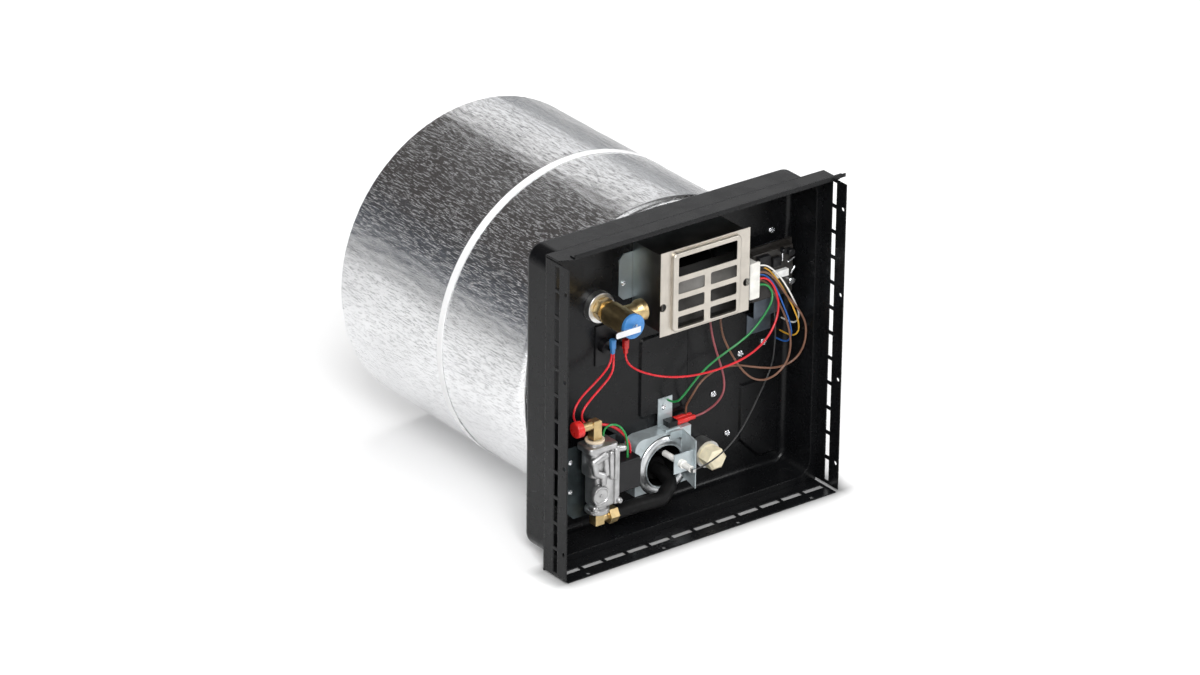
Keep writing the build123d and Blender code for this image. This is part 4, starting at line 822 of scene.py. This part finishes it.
class HEATER_OT_casting(bpy.types.Operator):
    """Die-cast gas valve: a body with top plate, side cover, ridges, round cover, bosses and bottom flange"""

    bl_idname = "heater.casting"
    bl_label = "Gas valve casting"

    def execute(self, context):
        parts = [
            block((-145, 27, 106), (-109, 54.5, 142), 8.0, 3.0),
            block((-139, 27, 66), (-109, 54.5, 112), 7.0, 3.0),
            block((-150, 25, 139.5), (-108, 55, 147), 6.0, 1.6),
            block((-114, 24.5, 67), (-107, 55, 143), 2.5, 1.6, along=0),
            lathe(place(-133, 40, 147), UP, [(0, 0), (10.5, 0), (10.5, 4.6), (9.4, 6), (0, 6)]),
            lathe(place(-128.5, 40, 57), UP, [
                (0, 0), (13.4, 0), (14.5, 1.1), (14.5, 5.4), (13.6, 6.4), (11.6, 7.2), (11.2, 13), (0, 13)]),
            lathe(place(-136.5, 27, 86.5), FRONT, [
                (0, 0), (12.0, 0), (12.0, 5.6), (11.2, 6.8), (10.0, 7.2), (9.2, 6.6), (8.6, 5.6), (2.4, 5.4),
                (1.9, 6.6), (1.2, 7.0), (0, 7.0)]),
            rod((-119.8, 25, 136), (-119.4, 24.5, 105), 3.1),
            rod((-112.2, 26, 138), (-112.4, 26, 101), 2.7),
            rod((-143, 27, 127), (-142, 25, 116), 4.4),
            rod((-142, 25, 116), (-133, 23, 111), 4.4),
            rod((-133, 23, 111), (-132, 23.5, 101.5), 4.0),
            rod((-143, 28, 129), (-128, 27, 135), 5.0),
            rod((-127.5, 26, 131), (-126.5, 25, 111), 3.4),
            rod((-114, 31, 137.5), (-99.5, 30, 135.5), 4.8),
            rod((-143.5, 31, 70), (-143.5, 24.5, 70), 4.0),
            rod((-108.5, 33, 72), (-108.5, 24, 72), 3.8),
        ]
        for x, z in ((-143.5, 70), (-108.5, 72)):
            parts.append(screw_head(x, 21.4, z, radius=2.8, height=1.6, turn=0.3))
        piece("valve_casting", join(parts), "casting", nodes=("gas_valve_body",))
        ring = [(8.6, -1.2), (11.4, -1.2), (11.9, -0.4), (11.9, 1.2), (11.2, 2.0), (8.6, 2.0), (8.6, -1.2)]
        piece("inlet_ring", lathe(place(-133, 40, 151.2), UP, ring), "cream")
        return {"FINISHED"}


class HEATER_OT_rim(bpy.types.Operator):
    """Rolled rim round the burner's mouth: a lathe of a low rounded ridge, with a thin near-black ring outside it
    as a painted shadow between the rim and the hood
    """

    bl_idname = "heater.rim"
    bl_label = "Burner rim"

    def execute(self, context):
        start = place(-6, 72, 67.5)
        ridge = [(26.6, -0.6), (26.9, 0.9), (28.2, 2.2), (31, 2.7), (34, 2.4), (36.4, 1.2), (37.6, 0.1),
                 (37.6, -0.6), (26.6, -0.6)]
        piece("burner_rim", lathe(start, FRONT, ridge, sides=96, angle=50.0), "rim")
        # Painted shadow: a thin near-black ring outside the rim, where the hood's inside is in shade
        shadow_profile = [(37.6, -0.4), (37.6, 0.25), (38.6, 0.25), (38.6, -0.4), (37.6, -0.4)]
        piece("burner_joint", lathe(start, FRONT, shadow_profile, sides=96), "soot")
        return {"FINISHED"}


class HEATER_OT_springs(bpy.types.Operator):
    """Springs of the relief valve and the gas valve: helices with a steady rise"""

    bl_idname = "heater.springs"
    bl_label = "Springs"

    def execute(self, context):
        start, length, travel = (-91.5, 30.97, 292), 48.08, 3.0
        helix = coil(start, (0, 1, 0), radius=5.4, wire=1.3, length=length, turns=6)
        spring = piece("relief_coil", helix, "steel", nodes=("relief_spring",))
        place(*start)
        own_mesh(spring)
        start, length, travel = (-81.33, 40, 99), 11.36, 2.5
        helix = coil(start, (-1, 0, 0), radius=3.0, wire=1.0, length=length, turns=4)
        spring = piece("plunger_coil", helix, "steel", nodes=("plunger_spring",))
        place(*start)
        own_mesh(spring)
        return {"FINISHED"}


class HEATER_OT_terminals(bpy.types.Operator):
    """Push-on terminals: sleeves that narrow to a crimp round their leads"""

    bl_idname = "heater.terminals"
    bl_label = "Terminals"

    def execute(self, context):
        crimp = [(0, 0, 0), (0, 0.62, 0.62), (0.05, 0.7, 0.7), (0.30, 0.72, 0.72), (0.38, 0.98, 0.9), (0.94, 1, 1),
                 (1.0, 0.9, 0.9), (1.0, 0, 0)]
        for node, finish in (("blue_terminal", "blue"), ("red_terminal", "red")):
            low, high = corners(node)
            piece(node + "_sleeve", sleeve(low, high, 2, crimp), finish, nodes=(node,))
        low, high = corners("cutoff_terminals")
        shape = [(0, 0, 0), (0, 0.9, 0.9), (0.03, 1, 1), (0.55, 1, 1), (0.66, 0.72, 0.8), (0.97, 0.7, 0.78),
                 (1.0, 0.6, 0.66), (1.0, 0, 0)]
        wide = high[2] - low[2]
        sleeves = [
            sleeve((low[0], start, low[2]), (high[0], start + wide, high[2]), 0, shape)
            for start in (low[1], high[1] - wide)]
        piece("cutoff_sleeves", join(sleeves), "red", nodes=("cutoff_terminals",))
        return {"FINISHED"}


class HEATER_OT_board(bpy.types.Operator):
    """Parts on the control board, and a ribbed shell for its connector"""

    bl_idname = "heater.board"
    bl_label = "Board parts"

    def execute(self, context):
        face = 68.4  # depth of the board's front
        piece("board_relay", block((148, 62.5, 271.5), (169.5, face, 280.5), 0.8, 0.6, along=1), "white")
        dark = [
            block((124, 61.5, 292), (141, face, 306), 1.2, 0.8, along=1),
            block((146, 63, 287), (158, face, 299), 1.0, 0.8, along=1),
            lathe(place(172, face, 301), FRONT, [(0, 0), (4.6, 0), (4.6, 7.5), (4.0, 8.2), (0, 8.2)]),
            lathe(place(162, face, 305), FRONT, [(0, 0), (3.2, 0), (3.2, 6.0), (2.7, 6.6), (0, 6.6)]),
        ]
        piece("board_parts", join(dark), "black")
        grey = [
            lathe(place(175.5, face, 262), FRONT, [(0, 0), (4.4, 0), (4.4, 4.5), (3.8, 5.2), (0, 5.2)]),
            rod((171, 66.5, 288), (180, 66.5, 291), 1.5),
            rod((162, 66.5, 292), (162, 66.5, 300), 1.2),
            rod((176, 66.5, 272), (181, 66.5, 279), 1.3),
        ]
        piece("board_pins", join(grey), "bright")
        low, high = corners("board_connector")
        shell = [block(low + (1.5, 1.5, 1.5), high - (1.5, 0, 1.5), 1.0, 0.5, along=1),
                 block(low, (high[0], low[1] + 3.0, high[2]), 1.4, 0.6, along=1)]
        ribs, margin = 9, 3
        pitch = (high[2] - low[2] - 2 * margin) / ribs
        for step in range(ribs):
            start = low[2] + margin + pitch * step
            end = start + 0.6 * pitch
            for left, near, right, far in ((low[0] + 0.6, low[1] + 4.5, low[0] + 2.0, high[1] - 3),
                                           (high[0] - 2.4, low[1] + 4, high[0] - 0.6, low[1] + 12)):
                shell.append(block((left, near, start), (right, far, end), 0.4, 0.3, along=1))
        piece("connector_shell", join(shell), "plug", nodes=("board_connector",))
        return {"FINISHED"}


class HEATER_OT_stage(bpy.types.Operator):
    """Pale floor, soft studio light and the camera at the photograph's angle"""

    bl_idname = "heater.stage"
    bl_label = "Stage"

    def execute(self, context):
        scene = context.scene
        scene.view_settings.view_transform = "Standard"
        self.floor()
        self.world(scene)
        self.lamps()
        self.camera(scene)
        return {"FINISHED"}

    def floor(self):
        """A wide floor just below the heater, whiter to the camera with distance and dimmer in reflections."""
        half_width, drop = 30.0, 0.0005
        line = np.linspace(-half_width, half_width, 3)
        grid = np.stack([*np.meshgrid(line, line), np.full((3, 3), -drop)], -1)
        obj = add("floor", surface(grid, wrap_columns=False))
        finish = Finish("floor_white", roughness=0.9, specular_ior_level=0.0)
        cloud = finish.noise(0.4)
        camera = finish.node("LightPath", output="Is Camera Ray")
        glossy = finish.node("LightPath", output="Is Glossy Ray")
        plain = finish.blend(cloud, grey(0.86), grey(0.88))
        # Contact shade under the pan's front edge, fading out ahead of it
        across, inward = finish.axis("X"), finish.axis("Y")
        contact = finish.span(inward, -0.050, -0.019) ** 2 * finish.span(inward, 0.04, 0.02)
        contact = contact * finish.span(across, -0.226, -0.2) * finish.span(across, 0.236, 0.21)
        plain = finish.blend(contact, plain, grey(0.30))
        finish.set(base_color=finish.blend(glossy, plain, grey(0.80)))
        glow = finish.blend(glossy, grey(0.0), grey(0.14))
        reach = finish.node("VectorMath", settings={"operation": "LENGTH"}, vector=finish.spot())
        white = finish.blend(finish.span(reach, 0.6, 2.0), grey(0.17), grey(0.52))
        white = finish.blend(finish.span(reach, 1.8, 5.0), white, grey(1.0))
        white = finish.blend(contact, white, grey(0.02))
        finish.set(emission_color=finish.blend(camera, glow, white), emission_strength=1.0)
        obj.data.materials.append(finish.material)

    def world(self, scene):
        """White to the camera, and to everything else a room that is dark at middle heights."""
        world = bpy.data.worlds.new("studio")
        world.use_nodes = True
        scene.world = world
        tree = world.node_tree
        tree.nodes.clear()
        output, backdrop, room, coordinates, split, ramp, path, mix = (
            tree.nodes.new("ShaderNode" + kind) for kind in
            "OutputWorld Background Background TexCoord SeparateXYZ ValToRGB LightPath MixShader".split())
        backdrop.inputs["Color"].default_value = (1, 1, 1, 1)
        # From level with the horizon to overhead
        set_stops(ramp, [
            (0.0, grey(0.80)), (0.015, (0.58, 0.59, 0.60)), (0.06, (0.26, 0.27, 0.29)),
            (0.15, (0.105, 0.113, 0.13)), (0.32, (0.075, 0.079, 0.088)), (0.50, (0.075, 0.068, 0.066)),
            (0.72, (0.064, 0.059, 0.057)), (0.86, grey(0.40)), (1.0, grey(0.70))])
        for start, end in (
            (coordinates.outputs["Generated"], split.inputs[0]), (split.outputs["Z"], ramp.inputs["Fac"]),
            (ramp.outputs["Color"], room.inputs["Color"]), (path.outputs["Is Camera Ray"], mix.inputs[0]),
            (room.outputs[0], mix.inputs[1]), (backdrop.outputs[0], mix.inputs[2]),
            (mix.outputs[0], output.inputs[0]),
        ):
            tree.links.new(start, end)

    def lamps(self):
        """Area lamps, by name, place, aim, size and power."""
        for name, spot, aim, size, power in (
            ("key", (-1.8, -2.4, 2.6), (0, 0.1, 0.2), 1.6, 138.0),
            ("fill", (2.2, -1.9, 1.5), (0, 0.1, 0.2), 1.4, 34.0),
            ("rear", (2.0, 2.9, 1.9), (0, 0.1, 0.3), 1.7, 8.0),
            ("top", (0.2, 0.2, 2.7), (0.05, 0.15, 0.2), 2.2, 34.0),
        ):
            light = bpy.data.lights.new(name, "AREA")
            light.size = size
            light.energy = power
            lamp = add(name, light)
            lamp.location = spot
            lamp.rotation_euler = (Vector(aim) - Vector(spot)).to_track_quat("-Z", "Y").to_euler()

    def camera(self, scene):
        """Camera at an azimuth, elevation and roll about a target, with the photograph's focal length."""
        azimuth, elevation, roll = (math.radians(turn) for turn in (-37.227, 25.5539, 0.6791))
        target, distance = Vector((-0.157523, -0.0215, 0.3053723)), 7.2938342
        back = Vector((math.sin(azimuth) * math.cos(elevation), -math.cos(azimuth) * math.cos(elevation),
                       math.sin(elevation)))
        right = Vector((math.cos(azimuth), math.sin(azimuth), 0.0))
        up = back.cross(right)
        level = (math.cos(roll) * right + math.sin(roll) * up, math.cos(roll) * up - math.sin(roll) * right)
        lens = bpy.data.cameras.new("camera")
        sensor, focal_pixels, photo_pixels = 36.0, 6368.0753, 1200.0
        lens.sensor_width = sensor
        lens.sensor_fit = "HORIZONTAL"
        lens.lens = sensor * focal_pixels / photo_pixels
        lens.clip_end = 100.0
        camera = add("camera", lens)
        turned = Matrix((*level, back)).transposed().to_4x4()
        camera.matrix_world = Matrix.Translation(target + back * distance) @ turned
        scene.camera = camera


OPERATORS = (
    HEATER_OT_finishes, HEATER_OT_foil, HEATER_OT_leads, HEATER_OT_screws, HEATER_OT_casting, HEATER_OT_rim,
    HEATER_OT_springs, HEATER_OT_terminals, HEATER_OT_board, HEATER_OT_stage)


class HEATER_PT_panel(bpy.types.Panel):
    """Lists the heater's operators"""

    bl_label = "Heater"
    bl_idname = "HEATER_PT_panel"
    bl_space_type = "VIEW_3D"
    bl_region_type = "UI"
    bl_category = "Heater"

    def draw(self, context):
        for operator in OPERATORS:
            self.layout.operator(operator.bl_idname)


CLASSES = (HeaterSizes, HeaterColours, *OPERATORS, HEATER_PT_panel)


def register():
    for item in CLASSES:
        bpy.utils.register_class(item)
    bpy.types.Scene.heater_sizes = bpy.props.PointerProperty(type=HeaterSizes)
    bpy.types.Scene.heater_colours = bpy.props.PointerProperty(type=HeaterColours)


def unregister():
    del bpy.types.Scene.heater_colours
    del bpy.types.Scene.heater_sizes
    for item in reversed(CLASSES):
        bpy.utils.unregister_class(item)


def main():
    register()
    for operator in OPERATORS:
        group, action = operator.bl_idname.split(".")
        getattr(getattr(bpy.ops, group), action)()


if __name__ == "__main__":
    main()
